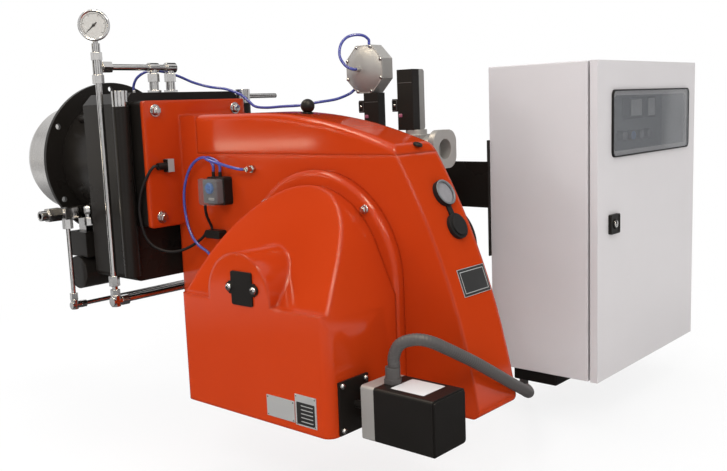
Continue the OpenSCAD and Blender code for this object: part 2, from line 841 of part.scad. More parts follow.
module servo_cover() {
    color(black) {
        yz_slab(servo_x1, servo_x2 - 3) translate([servo_y, servo_z])
            round_rect(servo_w, servo_h, servo_round);
        yz_slab(servo_x2 - 3 - eps, servo_x2) translate([servo_y, servo_z])
            round_rect(servo_w - 5, servo_h - 5, servo_round);
    }
}

module servo_gland() {
    color(cast_grey) translate([gland_x, servo_y - 2, servo_z + servo_h / 2]) {
        nut(gland_d - 2, 8);
        cylinder(d = gland_d - 4, h = gland_h);
    }
}

module servo_conduit() {
    color(cast_grey) cord(conduit_route, conduit_d);
}

// Frame on the curved rear wall with X to the far side, Y up the wall and Z outward
module on_rear_wall(down) {
    turn = seam_turn - down / rear_r * 180 / PI;
    translate([wall_x, sight_side, wall_z]) rotate([0, -turn, 0]) translate([rear_r, 0, 0])
        rotate([90, 0, 90]) children();
}

// Rubber ring with the cap that hangs open on its strap
module sight_ring() {
    color(black) {
        on_rear_wall(sight_down) {
            difference() {
                cylinder(d = sight_d, h = 9);
                translate([0, 0, 3]) cylinder(d = sight_lens_d, h = 7);
            }
            block([-6, -sight_cap_down + 10, 0], [6, -sight_d / 2 + 2, 3]);
        }
        on_rear_wall(sight_down + sight_cap_down) {
            cylinder(d = sight_d - 2, h = 7);
            cylinder(d = sight_lens_d - 4, h = 10);
        }
    }
}

module sight_lens() {
    color(chrome) on_rear_wall(sight_down) translate([0, 0, 3]) cylinder(d = sight_lens_d, h = 3);
}

// Motor with its flange, end bell, cooling fins and terminal box
module fan_motor() {
    core = motor_d - 2 * fin_h;
    step = 360 / motor_fins;
    color(cast_grey) translate([fan_x, far_y, fan_z]) {
        y_rod(motor_flange_d, 12);
        y_rod(core + 20, 26);
        y_rod(core, motor_len);
        translate([0, 25, 0]) rotate([-90, 0, 0]) linear_extrude(motor_len - 37) for (i = [1:motor_fins])
            if (abs(i * step - 180) < 142) rotate(i * step) translate([-fin_t / 2, -motor_d / 2])
                square([fin_t, fin_h + 8]);
        block([-48, 60, core / 2 - 10], [48, 150, motor_d / 2 + 40]);
    }
}

// Sheet cowl over the motor fan with ventilation holes in its end
module motor_cowl() {
    r = motor_d / 2 + 3;
    color(black) translate([fan_x, far_y + motor_len, fan_z]) difference() {
        translate([0, -10, 0]) y_rod(2 * r, cowl_len + 10);
        translate([0, -11, 0]) y_rod(2 * r - 5, 11);
        for (ring = [1:3], i = [0:7]) rotate([0, i * 45 + ring * 22, 0])
            translate([r * ring / 4, cowl_len - 6, 0]) y_rod(14, 7);
    }
}

// Pipe from the side of the head to the gas valve, with a welded bend
module gas_pipe() {
    bend = gas_pipe_d;
    side = head_w / 2;
    color(black) {
        translate([gas_pipe_x, side, gas_up]) {
            y_rod(gas_pipe_d + 36, 12);
            y_rod(gas_pipe_d, gas_off - bend - side + eps);
        }
        translate([gas_pipe_x + bend, gas_off - bend, gas_up]) rotate([0, 0, 90])
            rotate_extrude(angle = 90, $fn = 64) translate([bend, 0]) circle(d = gas_pipe_d);
        translate([gas_pipe_x + bend - eps, gas_off, gas_up])
            x_rod(gas_pipe_d, valve_x0 - gas_pipe_x - bend + eps);
    }
}

// Double valve body with end flanges, a seat for each actuator and the gas inlet
module gas_valve() {
    color(cast_grey) difference() {
        union() {
            translate([valve_x0, gas_off, gas_up]) x_rod(54, valve_len);
            yz_slab(valve_x0, valve_x0 + 14) translate([gas_off, gas_up]) round_rect(88, 88, 10);
            yz_slab(valve_x1 - 14, valve_x1) translate([gas_off, gas_up]) round_rect(78, 78, 26);
            for (x = [valve_first_x, valve_second_x]) {
                block([x - 30, gas_off - 26, gas_up - 34], [x + 30, gas_off + 26, gas_up + 30]);
                translate([x, gas_off, gas_up]) cylinder(d = 44, h = 40);
            }
        }
        translate([valve_x1 - gas_inlet_len, gas_off, gas_up]) x_rod(gas_inlet_d, gas_inlet_len + 1);
    }
}

// Slim dark actuator on each valve with its plug, and the grey coil case behind the second one
module valve_actuators() {
    for (x = [valve_first_x - 6, valve_second_x - 10]) {
        first = x < valve_second_x - 40;
        top = first ? dome_up - dome_d / 2 : actuator_top;
        lo = x - actuator_w / 2;
        color(black) block([lo, gas_front_y, gas_up + 40], [lo + actuator_w, gas_front_y + 22, top]);
        color(black) block([lo - 16, gas_front_y + 2, gas_up + 78],
            [lo + eps, gas_front_y + 20, gas_up + 104]);
        if (!first) color(cast_grey) yz_slab(lo + 2, lo + actuator_w - 2)
            translate([gas_front_y + 32, (gas_up + 40 + top) / 2]) round_rect(20 + eps, top - gas_up - 40, 6);
    }
}

// Octagonal regulator case with a domed front
module regulator_dome() {
    color(cast_grey) translate([valve_first_x - 22, gas_front_y, dome_up]) {
        rotate([-90, 0, 0]) rotate([0, 0, 22.5]) cylinder(d = dome_d / cos(22.5), h = 34, $fn = 8);
        rotate([90, 0, 0]) intersection() {
            translate([0, 0, dome_rise - dome_cap_r]) sphere(dome_cap_r, $fn = 96);
            cylinder(d = dome_d - 4, h = dome_rise);
        }
        rotate([90, 0, 0]) cylinder(d = 10, h = 26);
    }
}

// Sheet box, open to the front, with a folded rim round the door opening
module cabinet_body() {
    rim = 18;
    w = cab_wall;
    color(cabinet_grey) difference() {
        block([cab_x, cab_y, cab_z0], [cab_x1, cab_y1, cab_z1]);
        block([cab_x + w, cab_y + w, cab_z0 + w], [cab_x1 - w, cab_y1 - w, cab_z1 - w]);
        block([cab_x1 - w - 1, cab_y + rim, cab_z0 + rim], [cab_x1 + 1, cab_y1 - rim, cab_z1 - rim]);
    }
}

// Door pan with a window cut through it, notched round its hinge knuckles
module cabinet_door() {
    rim = door_rim;
    bevel = 3;
    color(cabinet_grey) difference() {
        translate([0, 0, cab_z0]) linear_extrude(cab_h) polygon([[door_x0, cab_y], [door_x1, cab_y],
            [door_x1, cab_y1], [door_x0 + bevel, cab_y1], [door_x0, cab_y1 - bevel]]);
        block([door_x0 - 1, cab_y + rim, cab_z0 + rim], [door_x1 - cab_wall, cab_y1 - rim, cab_z1 - rim]);
        yz_slab(door_x0 - 1, door_x1 + 1) translate([window_y, window_up])
            round_rect(window_w - 20, window_h - 20, window_round);
        translate([door_x0 - 1, cab_y + lock_in, lock_z]) x_rod(22, door_t + 2);
        for (z = hinge_z) {
            block([door_x0 - 1, cab_y1 - rim - 1, z - 2],
                [door_x1 - cab_wall, cab_y1 + 1, z + knuckle_len + 2]);
            translate([hinge_x, hinge_y, z - 16]) cylinder(d = hinge_pin_d + touch, h = knuckle_len + 32);
        }
    }
}

// Knuckles on the cabinet rim with the pins that carry the door
module door_hinges() {
    color(chrome) for (z = hinge_z) {
        translate([hinge_x, hinge_y, z]) cylinder(d = knuckle_d, h = knuckle_len);
        block([cab_x1, hinge_y - knuckle_d / 2, z], [hinge_x, hinge_y - 1, z + knuckle_len]);
        translate([hinge_x, hinge_y, z - 14]) cylinder(d = hinge_pin_d, h = knuckle_len + 28);
    }
}

module door_window() {
    color([0.1, 0.1, 0.12]) yz_slab(door_x1, door_x1 + pane_t) translate([window_y, window_up])
        round_rect(window_w, window_h, window_round);
}

module door_lock() {
    color(black) translate([door_x1, cab_y + lock_in, lock_z]) {
        yz_slab(0, 6) round_rect(lock_d, lock_d, 3);
        translate([-door_t, 0, 0]) x_rod(21.6, door_t + eps);
    }
}

// Instrument strip that stands across the cabinet behind the window
module instrument_panel() {
    z0 = window_up - window_h / 2 - 30;
    z1 = window_up + window_h / 2 + 30;
    color(cabinet_grey) {
        block([panel_x, cab_y + cab_wall, z0], [panel_x + 2, cab_y1 - cab_wall, z1]);
        for (y = [cab_y + cab_wall, cab_y1 - cab_wall - 2])
            block([panel_x - 30, y, z0], [panel_x + eps, y + 2, z1]);
    }
}

// Controller, meters, switch and lamps on the instrument strip
module panel_devices() {
    x = panel_x + 2;
    y0 = window_y - window_w / 2;
    color(black) {
        block([x, y0 + 46, window_up + 4], [x + 18, y0 + 116, window_up + 52]);
        block([x, y0 + 214, window_up + 4], [x + 18, y0 + 286, window_up + 52]);
        block([x, y0 + 308, window_up + 4], [x + 18, y0 + 356, window_up + 52]);
    }
    color(hose_blue) translate([x, y0 + 92, window_up - 34]) x_rod(30, 24);
    color(black) for (i = [0:3]) translate([x, y0 + 200 + i * 44, window_up - 34]) x_rod(24, 14);
}

// Bent plate from the scroll's far wall to the back of the cabinet
module cabinet_bracket() {
    x0 = valve_x0 + 21;
    y1 = cab_y - 2;
    top = gas_up - 36;
    t = bracket_t;
    color(black) {
        block([x0, far_y, top - bracket_h], [x0 + 40, far_y + t, top]);
        block([x0, far_y, top - bracket_h], [x0 + t, y1, top]);
        block([x0, y1 - t, top - bracket_h], [cab_x, y1, top]);
        block([cab_x - t, y1 - t, top - 206], [cab_x, cab_y + 180, top + 46]);
    }
}

module cable_entry() {
    color(black) block([cab_x + 48, cab_y + 8, cab_z0 - 26], [cab_x + 152, cab_y + 78, cab_z0]);
}

// Pump block hung from the neck, with its round strainer housing below
module oil_pump() {
    color(black) difference() {
        translate([pump_x, pump_y, pump_z]) {
            block([-34, -30, -26], [34, 30, 30]);
            translate([0, -36, -62]) y_rod(pump_d, 72);
            block([-20, -20, -40], [20, 20, -20]);
            block([-24, 20, 10], [24, 50, 90]);
        }
        translate([flange_t, 0, 0]) x_rod(neck_d, neck_len);
    }
}

// Valve block on the pump with its hose union, and the nuts and tees at the pipe ends
module oil_fittings() {
    color(chrome) difference() {
        union() {
            block([pump_x - 16, oil_drop_y - 12, oil_block_z], [pump_x + 16, pump_y + 20, oil_block_z + 25]);
            block([pump_x - 14, pump_y - 16, pump_z + 30], [pump_x + 14, pump_y + 14, oil_block_z + eps]);
            translate([pump_x, oil_drop_y - 64, oil_block_z + 13]) y_rod(22, 53);
            translate([pump_x, oil_drop_y - 48, oil_block_z + 13]) rotate([-90, 0, 0]) nut(28, 30);
            translate([pump_x, oil_drop_y, oil_block_z - 22]) nut(20, 22 + eps);
            translate([pump_x, oil_drop_y, return_z + 12]) nut(15, 16);
            translate([pump_x, oil_drop_y, return_z - 9]) cylinder(d = 16, h = 22);
            translate([pump_x, oil_drop_y - 8, return_z]) y_rod(16, 24);
            translate([pump_x, oil_drop_y + 14, return_z]) rotate([-90, 0, 0]) nut(15, 14);
            translate([riser_x, riser_y, sump_z - 11]) cylinder(d = 20, h = 24);
            translate([riser_x, riser_y - 10, sump_z]) y_rod(20, 24);
            translate([riser_x, riser_y + 12, sump_z]) rotate([-90, 0, 0]) nut(20, 18);
            translate([riser_x, riser_y, sump_z + 12]) nut(18, 14);
            translate([riser_x, riser_y, sump_z + 34]) nut(20, 22);
            translate([riser_x, riser_y, cross_up - 34]) nut(21, 18);
            translate([riser_x, riser_y, cross_up - 17]) cylinder(d = 20, h = 32);
            translate([riser_x, riser_y, cross_up + 14]) nut(20, 16);
            translate([riser_x, riser_y + 9, cross_up]) rotate([-90, 0, 0]) nut(22, 22);
            translate([riser_x, nozzle_y[1] - 10, cross_up]) y_rod(22, 24);
            translate([riser_x, nozzle_y[0] - 12, cross_up]) y_rod(20, 24);
            for (y = nozzle_y) {
                translate([riser_x, y, head_top]) nut(26, 6);
                translate([riser_x, y, head_top + 6 - eps]) cylinder(d = 20, h = 18);
                translate([riser_x, y, head_top + 24 - eps]) nut(22, 18);
                translate([riser_x, y, head_top + 42 - 2 * eps])
                    cylinder(d = 18, h = cross_up - head_top - 42);
            }
        }
        oil_pipe_runs(touch);
        translate([pump_x, oil_drop_y - 65, oil_block_z + 13]) y_rod(oil_inlet_d, oil_inlet_len + 1);
    }
}

// Oil pipe runs, with a little added to their diameters to cut seats for them
module oil_pipe_runs(extra = 0) {
    big = pipe_d - 2 + extra;
    small = pipe_d - 5 + extra;
    translate([riser_x, riser_y, sump_z]) cylinder(d = big, h = cross_up - sump_z);
    translate([riser_x, riser_y, cross_up]) y_rod(big, nozzle_y[1] + 8 - riser_y);
    translate([riser_x, riser_y, sump_z]) y_rod(big, 300);
    translate([pump_x, oil_drop_y, return_z]) cylinder(d = small, h = oil_block_z - return_z);
    translate([pump_x, oil_drop_y, return_z]) y_rod(small, 310);
}

// Riser, cross pipe, drop pipe and the two lower pipes
module oil_pipes() {
    color(chrome) oil_pipe_runs();
}

// Gauge on its stem above the riser, turned toward the operator
module pressure_gauge() {
    color(chrome) translate([riser_x, riser_y, cross_up]) {
        translate([0, 0, 30]) cylinder(d = 17, h = 18);
        translate([0, 0, 47]) cylinder(d = 11, h = gauge_up - 47 - gauge_d / 2 + 3);
        translate([0, 0, gauge_up]) rotate([90, 0, gauge_turn]) translate([0, 0, -gauge_t / 2]) {
            cylinder(d = gauge_d - 3, h = gauge_t - 8);
            translate([0, 0, gauge_t - 9]) cylinder(d = gauge_d, h = 9);
        }
    }
}

module switch_base() {
    color(black) {
        xz_slab(near_y - switch_back, near_y) translate([switch_x, switch_z])
            round_rect(switch_w, switch_h, 6);
        for (x = switch_nip_x) translate([x, near_y - 13, switch_z + switch_h / 2 - eps])
            cylinder(d = 7, h = 10);
    }
}

module switch_cover() {
    color([0.6, 0.6, 0.55]) xz_slab(near_y - switch_back - switch_cover_t, near_y - switch_back)
        translate([switch_x, switch_z]) round_rect(switch_w - 3, switch_h - 3, 6);
}

// Sensor socket on the mating plate with its cable plug
module flame_sensor() {
    color(chrome) block([plate_x1, -106, -17], [plate_x1 + 16, -90, 10]);
    color(black) translate([plate_x1 + 8, -106, -4]) rotate([90, 0, 0]) cylinder(d = 15, h = 20);
}

module cable_plug() {
    color(black) xz_slab(near_y - 20, near_y) translate([plug_x + 24, plug_z]) round_rect(46, 17, 5);
}

// Hose nipples: angled ones on the near wall of the scroll and a straight one on the head
module wall_nipples() {
    color(chrome) {
        for (p = wall_nip) translate([p[0], near_y, p[1]]) {
            rotate([90, 0, 0]) {
                nut(14, 6);
                cylinder(d = 10, h = 19);
            }
            translate([0, -14, 0]) rotate([0, p[2], 0]) cylinder(d = hose_d, h = 12);
        }
        translate([head_nip[0], head_nip[1], head_top]) cylinder(d = hose_d, h = 8);
    }
}

module switch_hose() {
    color(hose_blue) cord(switch_hose_route, hose_d, 8);
}

module wall_hose() {
    color(hose_blue) cord(wall_hose_route, hose_d, 8);
}

module switch_cable() {
    color(black) cord(switch_cable_route, cable_d, 8);
}

module sensor_cable() {
    color(black) cord(sensor_cable_route, cable_d, 8);
}

module dome_hose() {
    color(hose_blue) cord(dome_hose_route, hose_d, 8);
}

module impulse_hose() {
    color(hose_blue) cord(impulse_hose_route, hose_d, 8);
}

boiler_flange();
blast_tube();
swirl_plate();
oil_lance();
gas_lance_ring();
head_body();
hinge_pin();
latch_pin();
fan_housing();
top_cover();
cover_knob();
inlet_drum();
intake_box();
intake_guard();
boss_cover();
bare_plates();
servo_mount();
servo_base();
servo_cover();
servo_gland();
servo_conduit();
sight_ring();
sight_lens();
fan_motor();
motor_cowl();
gas_pipe();
gas_valve();
valve_actuators();
regulator_dome();
cabinet_body();
cabinet_door();
door_hinges();
door_window();
door_lock();
instrument_panel();
panel_devices();
cabinet_bracket();
cable_entry();
oil_pump();
oil_fittings();
oil_pipes();
pressure_gauge();
switch_base();
switch_cover();
flame_sensor();
cable_plug();
wall_nipples();
switch_hose();
wall_hose();
switch_cable();
sensor_cable();
dome_hose();
impulse_hose();
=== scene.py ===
import math

import bmesh
import bpy
from mathutils import Matrix, Vector


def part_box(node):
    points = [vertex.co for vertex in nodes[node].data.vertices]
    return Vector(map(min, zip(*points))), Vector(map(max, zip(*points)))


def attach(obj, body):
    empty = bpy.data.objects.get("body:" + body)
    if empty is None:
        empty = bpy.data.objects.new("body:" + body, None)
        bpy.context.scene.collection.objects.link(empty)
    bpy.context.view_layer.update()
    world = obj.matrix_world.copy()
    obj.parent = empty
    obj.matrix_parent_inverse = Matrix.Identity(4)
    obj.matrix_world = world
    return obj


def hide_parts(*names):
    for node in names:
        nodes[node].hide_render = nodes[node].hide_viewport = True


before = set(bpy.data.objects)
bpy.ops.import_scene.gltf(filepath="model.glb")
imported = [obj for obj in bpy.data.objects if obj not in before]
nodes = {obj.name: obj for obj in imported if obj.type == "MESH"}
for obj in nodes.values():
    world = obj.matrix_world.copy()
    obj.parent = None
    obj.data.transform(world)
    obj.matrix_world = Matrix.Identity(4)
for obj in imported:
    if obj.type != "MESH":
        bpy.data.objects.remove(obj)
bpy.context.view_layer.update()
scene = bpy.context.scene
scene.view_settings.view_transform = "Standard"


def putIn(name, data):
    o = bpy.data.objects.new(name, data)
    scene.collection.objects.link(o)
    return o


# camera at the photograph's place
shot = {"at": (1.8786, -1.2156, 0.1027), "azimuth": 41.45, "elevation": 8.33, "roll": -2.18, "lens": 43.49,
        "sensor": 36, "farClip": 60}


def placeCamera():
    a, e, r = (math.radians(shot[k]) for k in ("azimuth", "elevation", "roll"))
    back = Vector((math.sin(a) * math.cos(e), -math.cos(a) * math.cos(e), math.sin(e)))
    right = (-back).cross(Vector((0, 0, 1))).normalized()
    up = right.cross(-back)
    turned = math.cos(r) * right + math.sin(r) * up
    lifted = -math.sin(r) * right + math.cos(r) * up
    data = bpy.data.cameras.new("photoCamera")
    data.lens = shot["lens"]
    data.sensor_width = shot["sensor"]
    data.clip_end = shot["farClip"]
    cam = putIn("photoCamera", data)
    axes = Matrix((turned, lifted, back)).transposed().to_4x4()
    cam.matrix_world = Matrix.Translation(shot["at"]) @ axes
    scene.camera = cam


placeCamera()
print("camera placed")

# shared shader groups, and what every finish takes from them
texture = {"fineDetail": 2, "broadDetail": 4, "broadRough": 0.6, "lineDetail": 5, "lineMottle": 9,
           "edgeSamples": 6, "bumpDepth": 0.0004, "noiseLow": 0.25, "noiseHigh": 0.75, "leastRough": 0.02}


def newGroup(name, inputs, outputs):
    g = bpy.data.node_groups.new(name, "ShaderNodeTree")
    for label, kind, value in inputs:
        s = g.interface.new_socket(label, in_out="INPUT", socket_type=kind)
        s.default_value = value
    for label, kind in outputs:
        g.interface.new_socket(label, in_out="OUTPUT", socket_type=kind)
    return g, g.nodes.new("NodeGroupInput"), g.nodes.new("NodeGroupOutput")


def grainGroup():
    # fine grain for bump, and a slow mottle for colour and gloss
    g, i, o = newGroup("coatGrain", [("Fine", "NodeSocketFloat", 600.0), ("Broad", "NodeSocketFloat", 6.0)],
                       [("Grain", "NodeSocketFloat"), ("Mottle", "NodeSocketFloat")])
    at = g.nodes.new("ShaderNodeTexCoord")
    fine = g.nodes.new("ShaderNodeTexNoise")
    fine.inputs["Detail"].default_value = texture["fineDetail"]
    broad = g.nodes.new("ShaderNodeTexNoise")
    broad.inputs["Detail"].default_value = texture["broadDetail"]
    broad.inputs["Roughness"].default_value = texture["broadRough"]
    for tex, size in ((fine, "Fine"), (broad, "Broad")):
        g.links.new(at.outputs["Object"], tex.inputs["Vector"])
        g.links.new(i.outputs[size], tex.inputs["Scale"])
    g.links.new(fine.outputs["Fac"], o.inputs["Grain"])
    g.links.new(broad.outputs["Fac"], o.inputs["Mottle"])
    return g


def brushGroup():
    # brush lines that run across the direction with the large stretch
    g, i, o = newGroup("brushLines", [("Stretch", "NodeSocketVector", (400.0, 6.0, 6.0))],
                       [("Lines", "NodeSocketFloat"), ("Mottle", "NodeSocketFloat")])
    at = g.nodes.new("ShaderNodeTexCoord")
    scale = g.nodes.new("ShaderNodeVectorMath")
    scale.operation = "MULTIPLY"
    lines = g.nodes.new("ShaderNodeTexNoise")
    lines.inputs["Scale"].default_value = 1
    lines.inputs["Detail"].default_value = texture["lineDetail"]
    mottle = g.nodes.new("ShaderNodeTexNoise")
    mottle.inputs["Scale"].default_value = texture["lineMottle"]
    g.links.new(at.outputs["Object"], scale.inputs[0])
    g.links.new(i.outputs["Stretch"], scale.inputs[1])
    g.links.new(scale.outputs[0], lines.inputs["Vector"])
    g.links.new(at.outputs["Object"], mottle.inputs["Vector"])
    g.links.new(lines.outputs["Fac"], o.inputs["Lines"])
    g.links.new(mottle.outputs["Fac"], o.inputs["Mottle"])
    return g


def edgeGroup():
    # normal that rolls over edges, so that they catch the light
    g, i, o = newGroup("softEdge", [("Radius", "NodeSocketFloat", 0.001)], [("Normal", "NodeSocketVector")])
    bevel = g.nodes.new("ShaderNodeBevel")
    bevel.samples = texture["edgeSamples"]
    g.links.new(i.outputs["Radius"], bevel.inputs["Radius"])
    g.links.new(bevel.outputs["Normal"], o.inputs["Normal"])
    return g


coatGrain, brushLines, softEdge = grainGroup(), brushGroup(), edgeGroup()
finishes = {}


def finish(name, colour, shade, rough, spread=0.06, metal=0.0, fine=700.0, broad=7.0, bump=0.05, edge=0.0012,
           brush=None, level=0.5, clear=0.0, alpha=1.0):
    # colour and gloss that wander a little, with grain or brush lines as bump
    m = bpy.data.materials.new(name)
    m.use_nodes = True
    t = m.node_tree
    b = t.nodes["Principled BSDF"]
    b.inputs["Metallic"].default_value = metal
    b.inputs["Specular IOR Level"].default_value = level
    b.inputs["Transmission Weight"].default_value = clear
    b.inputs["Alpha"].default_value = alpha
    g = t.nodes.new("ShaderNodeGroup")
    g.node_tree = brushLines if brush else coatGrain
    if brush:
        g.inputs["Stretch"].default_value = brush
    else:
        g.inputs["Fine"].default_value = fine
        g.inputs["Broad"].default_value = broad
    tint = t.nodes.new("ShaderNodeMix")
    tint.data_type = "RGBA"
    tint.inputs["A"].default_value = (*shade, 1)
    tint.inputs["B"].default_value = (*colour, 1)
    t.links.new(g.outputs["Mottle"], tint.inputs["Factor"])
    t.links.new(tint.outputs["Result"], b.inputs["Base Color"])
    gloss = t.nodes.new("ShaderNodeMapRange")
    gloss.inputs["From Min"].default_value = texture["noiseLow"]
    gloss.inputs["From Max"].default_value = texture["noiseHigh"]
    gloss.inputs["To Min"].default_value = max(texture["leastRough"], rough - spread)
    gloss.inputs["To Max"].default_value = rough + spread
    t.links.new(g.outputs["Lines" if brush else "Mottle"], gloss.inputs["Value"])
    t.links.new(gloss.outputs["Result"], b.inputs["Roughness"])
    lumps = t.nodes.new("ShaderNodeBump")
    lumps.inputs["Strength"].default_value = bump
    lumps.inputs["Distance"].default_value = texture["bumpDepth"]
    t.links.new(g.outputs["Lines" if brush else "Grain"], lumps.inputs["Height"])
    if edge:
        s = t.nodes.new("ShaderNodeGroup")
        s.node_tree = softEdge
        s.inputs["Radius"].default_value = edge
        t.links.new(s.outputs["Normal"], lumps.inputs["Normal"])
    t.links.new(lumps.outputs["Normal"], b.inputs["Normal"])
    finishes[name] = m
    return m


orangePowder = finish("orangePowder", (0.475, 0.042, 0.006), (0.435, 0.036, 0.005), 0.10, 0.02,
                      fine=380, bump=0.012, level=0.24, edge=0.009)
blackPaint = finish("blackPaint", (0.014, 0.012, 0.010), (0.010, 0.008, 0.007), 0.30, 0.06,
                    fine=500, bump=0.05, level=0.16, edge=0.0016)
stainless = finish("stainless", (0.50, 0.485, 0.475), (0.40, 0.39, 0.38), 0.27, 0.06,
                   metal=1, brush=(700, 4, 4), bump=0.05, edge=0)
brightPlate = finish("brightPlate", (0.62, 0.61, 0.60), (0.40, 0.39, 0.385), 0.17, 0.07,
                     metal=1, fine=300, broad=60, bump=0.05, edge=0.0008)
castGrey = finish("castGrey", (0.40, 0.385, 0.365), (0.31, 0.30, 0.285), 0.46, 0.08,
                  metal=0.45, fine=1300, bump=0.25, edge=0.0014)
motorGrey = finish("motorGrey", (0.16, 0.17, 0.18), (0.12, 0.13, 0.135), 0.42, 0.08, fine=700, bump=0.1)
cabinetGrey = finish("cabinetGrey", (0.635, 0.608, 0.612), (0.60, 0.575, 0.578), 0.44, 0.04,
                     fine=1500, bump=0.12, level=0.25, edge=0)
blackPlastic = finish("blackPlastic", (0.011, 0.009, 0.008), (0.008, 0.007, 0.006), 0.42, 0.08,
                      fine=1600, bump=0.15, level=0.18)
greyPlastic = finish("greyPlastic", (0.088, 0.080, 0.077), (0.068, 0.062, 0.060), 0.45, 0.08,
                     fine=900, bump=0.1, level=0.3)
blackRubber = finish("blackRubber", (0.012, 0.011, 0.011), (0.009, 0.008, 0.008), 0.55, 0.08,
                     fine=1100, bump=0.2, level=0.2)
blueTube = finish("blueTube", (0.085, 0.10, 0.42), (0.05, 0.06, 0.30), 0.2, 0.06,
                  fine=500, bump=0.05, clear=0.2, edge=0)
clearPlastic = finish("clearPlastic", (0.17, 0.165, 0.16), (0.13, 0.125, 0.12), 0.12, 0.03,
                      fine=300, bump=0.02, alpha=0.36, edge=0.002)
darkGlass = finish("darkGlass", (0.27, 0.28, 0.295), (0.24, 0.25, 0.265), 0.06, 0.02,
                   fine=60, bump=0.01, alpha=0.40, edge=0)
sightGlass = finish("sightGlass", (0.36, 0.35, 0.36), (0.20, 0.19, 0.20), 0.14, 0.05,
                    fine=100, broad=40, bump=0.05, level=0.6)
blankPlate = finish("blankPlate", (0.60, 0.60, 0.59), (0.52, 0.52, 0.51), 0.36, 0.08,
                    metal=0.5, brush=(6, 6, 500), bump=0.06, edge=0.0004)
dialWhite = finish("dialWhite", (0.52, 0.51, 0.48), (0.47, 0.46, 0.43), 0.5, 0.05, fine=900, bump=0.02, edge=0)
inkBlack = finish("inkBlack", (0.010, 0.010, 0.010), (0.014, 0.014, 0.014), 0.5, 0.05,
                  fine=900, bump=0.02, edge=0)
blueCap = finish("blueCap", (0.07, 0.24, 0.60), (0.05, 0.19, 0.50), 0.35, 0.05,
                 fine=700, bump=0.05, edge=0.0006)
labelWhite = finish("labelWhite", (0.74, 0.73, 0.72), (0.69, 0.68, 0.67), 0.45, 0.05,
                    fine=900, bump=0.02, edge=0)
panelGrey = finish("panelGrey", (0.31, 0.315, 0.325), (0.28, 0.285, 0.295), 0.5, 0.05,
                   fine=900, bump=0.05, edge=0)
lampPink = finish("lampPink", (0.36, 0.10, 0.17), (0.28, 0.07, 0.12), 0.25, 0.05,
                  fine=500, bump=0.03, edge=0.0006)


def twoTone(name, source, axis, limit, colour):
    # copy of a finish with another colour beyond one place along an axis
    m = source.copy()
    m.name = name
    t = m.node_tree
    b = t.nodes["Principled BSDF"]
    old = b.inputs["Base Color"].links[0].from_socket
    at = t.nodes.new("ShaderNodeTexCoord")
    part = t.nodes.new("ShaderNodeSeparateXYZ")
    past = t.nodes.new("ShaderNodeMath")
    past.operation = "GREATER_THAN"
    past.inputs[1].default_value = limit / 1000
    mix = t.nodes.new("ShaderNodeMix")
    mix.data_type = "RGBA"
    mix.inputs["B"].default_value = (*colour, 1)
    t.links.new(at.outputs["Object"], part.inputs["Vector"])
    t.links.new(part.outputs[axis], past.inputs[0])
    t.links.new(past.outputs["Value"], mix.inputs["Factor"])
    t.links.new(old, mix.inputs["A"])
    t.links.new(mix.outputs["Result"], b.inputs["Base Color"])
    finishes[name] = m
    return m


# actuators have grey backs, and the flame sensor's plug is black up to its socket
actuatorPlastic = twoTone("actuatorPlastic", blackPlastic, "Y", 232, (0.23, 0.225, 0.215))
sensorPlastic = twoTone("sensorPlastic", blackPlastic, "Y", -106, (0.34, 0.33, 0.32))
print("finishes made", len(finishes))

nodeFinish = [
    (orangePowder, ("fan_housing", "top_cover", "inlet_drum", "intake_box")),
    (blackPaint, ("boiler_flange", "head_body", "intake_guard", "servo_mount", "motor_cowl", "gas_pipe",
                  "cabinet_bracket", "oil_pump")),
    (stainless, ("blast_tube", "swirl_plate", "oil_lance", "gas_lance_ring")),
    (brightPlate, ("hinge_pin", "latch_pin", "door_hinges", "oil_fittings", "oil_pipes", "pressure_gauge",
                   "wall_nipples")),
    (blackPlastic, ("cover_knob", "boss_cover", "servo_cover", "door_lock", "panel_devices", "cable_entry",
                    "switch_base", "cable_plug")),
    (castGrey, ("servo_base", "gas_valve", "regulator_dome")),
    (cabinetGrey, ("cabinet_body", "cabinet_door")),
    (blankPlate, ("bare_plates",)),
    (greyPlastic, ("servo_gland",)),
    (blackRubber, ("sight_ring",)),
    (sightGlass, ("sight_lens",)),
    (motorGrey, ("fan_motor",)),
    (actuatorPlastic, ("valve_actuators",)),
    (darkGlass, ("door_window",)),
    (panelGrey, ("instrument_panel",)),
    (clearPlastic, ("switch_cover",)),
    (sensorPlastic, ("flame_sensor",)),
]
for m, names in nodeFinish:
    for n in names:
        nodes[n].data.materials.clear()
        nodes[n].data.materials.append(m)

# moulded sheet edges: width in millimetres and steps, where two faces of a node meet at an angle
softEdges = {
    "fan_housing": (4.0, 3), "intake_box": (5.0, 4), "inlet_drum": (2.5, 2), "cabinet_body": (3.0, 3),
    "cabinet_door": (3.0, 3), "servo_cover": (2.5, 3), "servo_base": (2.0, 2), "head_body": (3.0, 2),
    "valve_actuators": (2.0, 2), "switch_base": (2.0, 2), "switch_cover": (2.5, 3), "regulator_dome": (1.5, 2),
    "gas_valve": (2.0, 2), "oil_pump": (2.5, 2), "cable_entry": (3.0, 3), "cover_knob": (0.6, 2),
    "sight_ring": (1.0, 2), "boss_cover": (0.8, 2), "cabinet_bracket": (1.5, 2),
}
softRules = {"weld": 0.02, "angle": 28}


def soften(name, width, segments):
    o = nodes[name]
    weld = o.modifiers.new("weld", "WELD")
    weld.merge_threshold = softRules["weld"] / 1000
    bevel = o.modifiers.new("softEdge", "BEVEL")
    bevel.width = width / 1000
    bevel.segments = segments
    bevel.limit_method = "ANGLE"
    bevel.angle_limit = math.radians(softRules["angle"])
    bevel.use_clamp_overlap = True
    shade = o.modifiers.new("evenShade", "WEIGHTED_NORMAL")
    shade.keep_sharp = False


for n, (width, segments) in softEdges.items():
    soften(n, width, segments)
print("edges softened", len(softEdges))

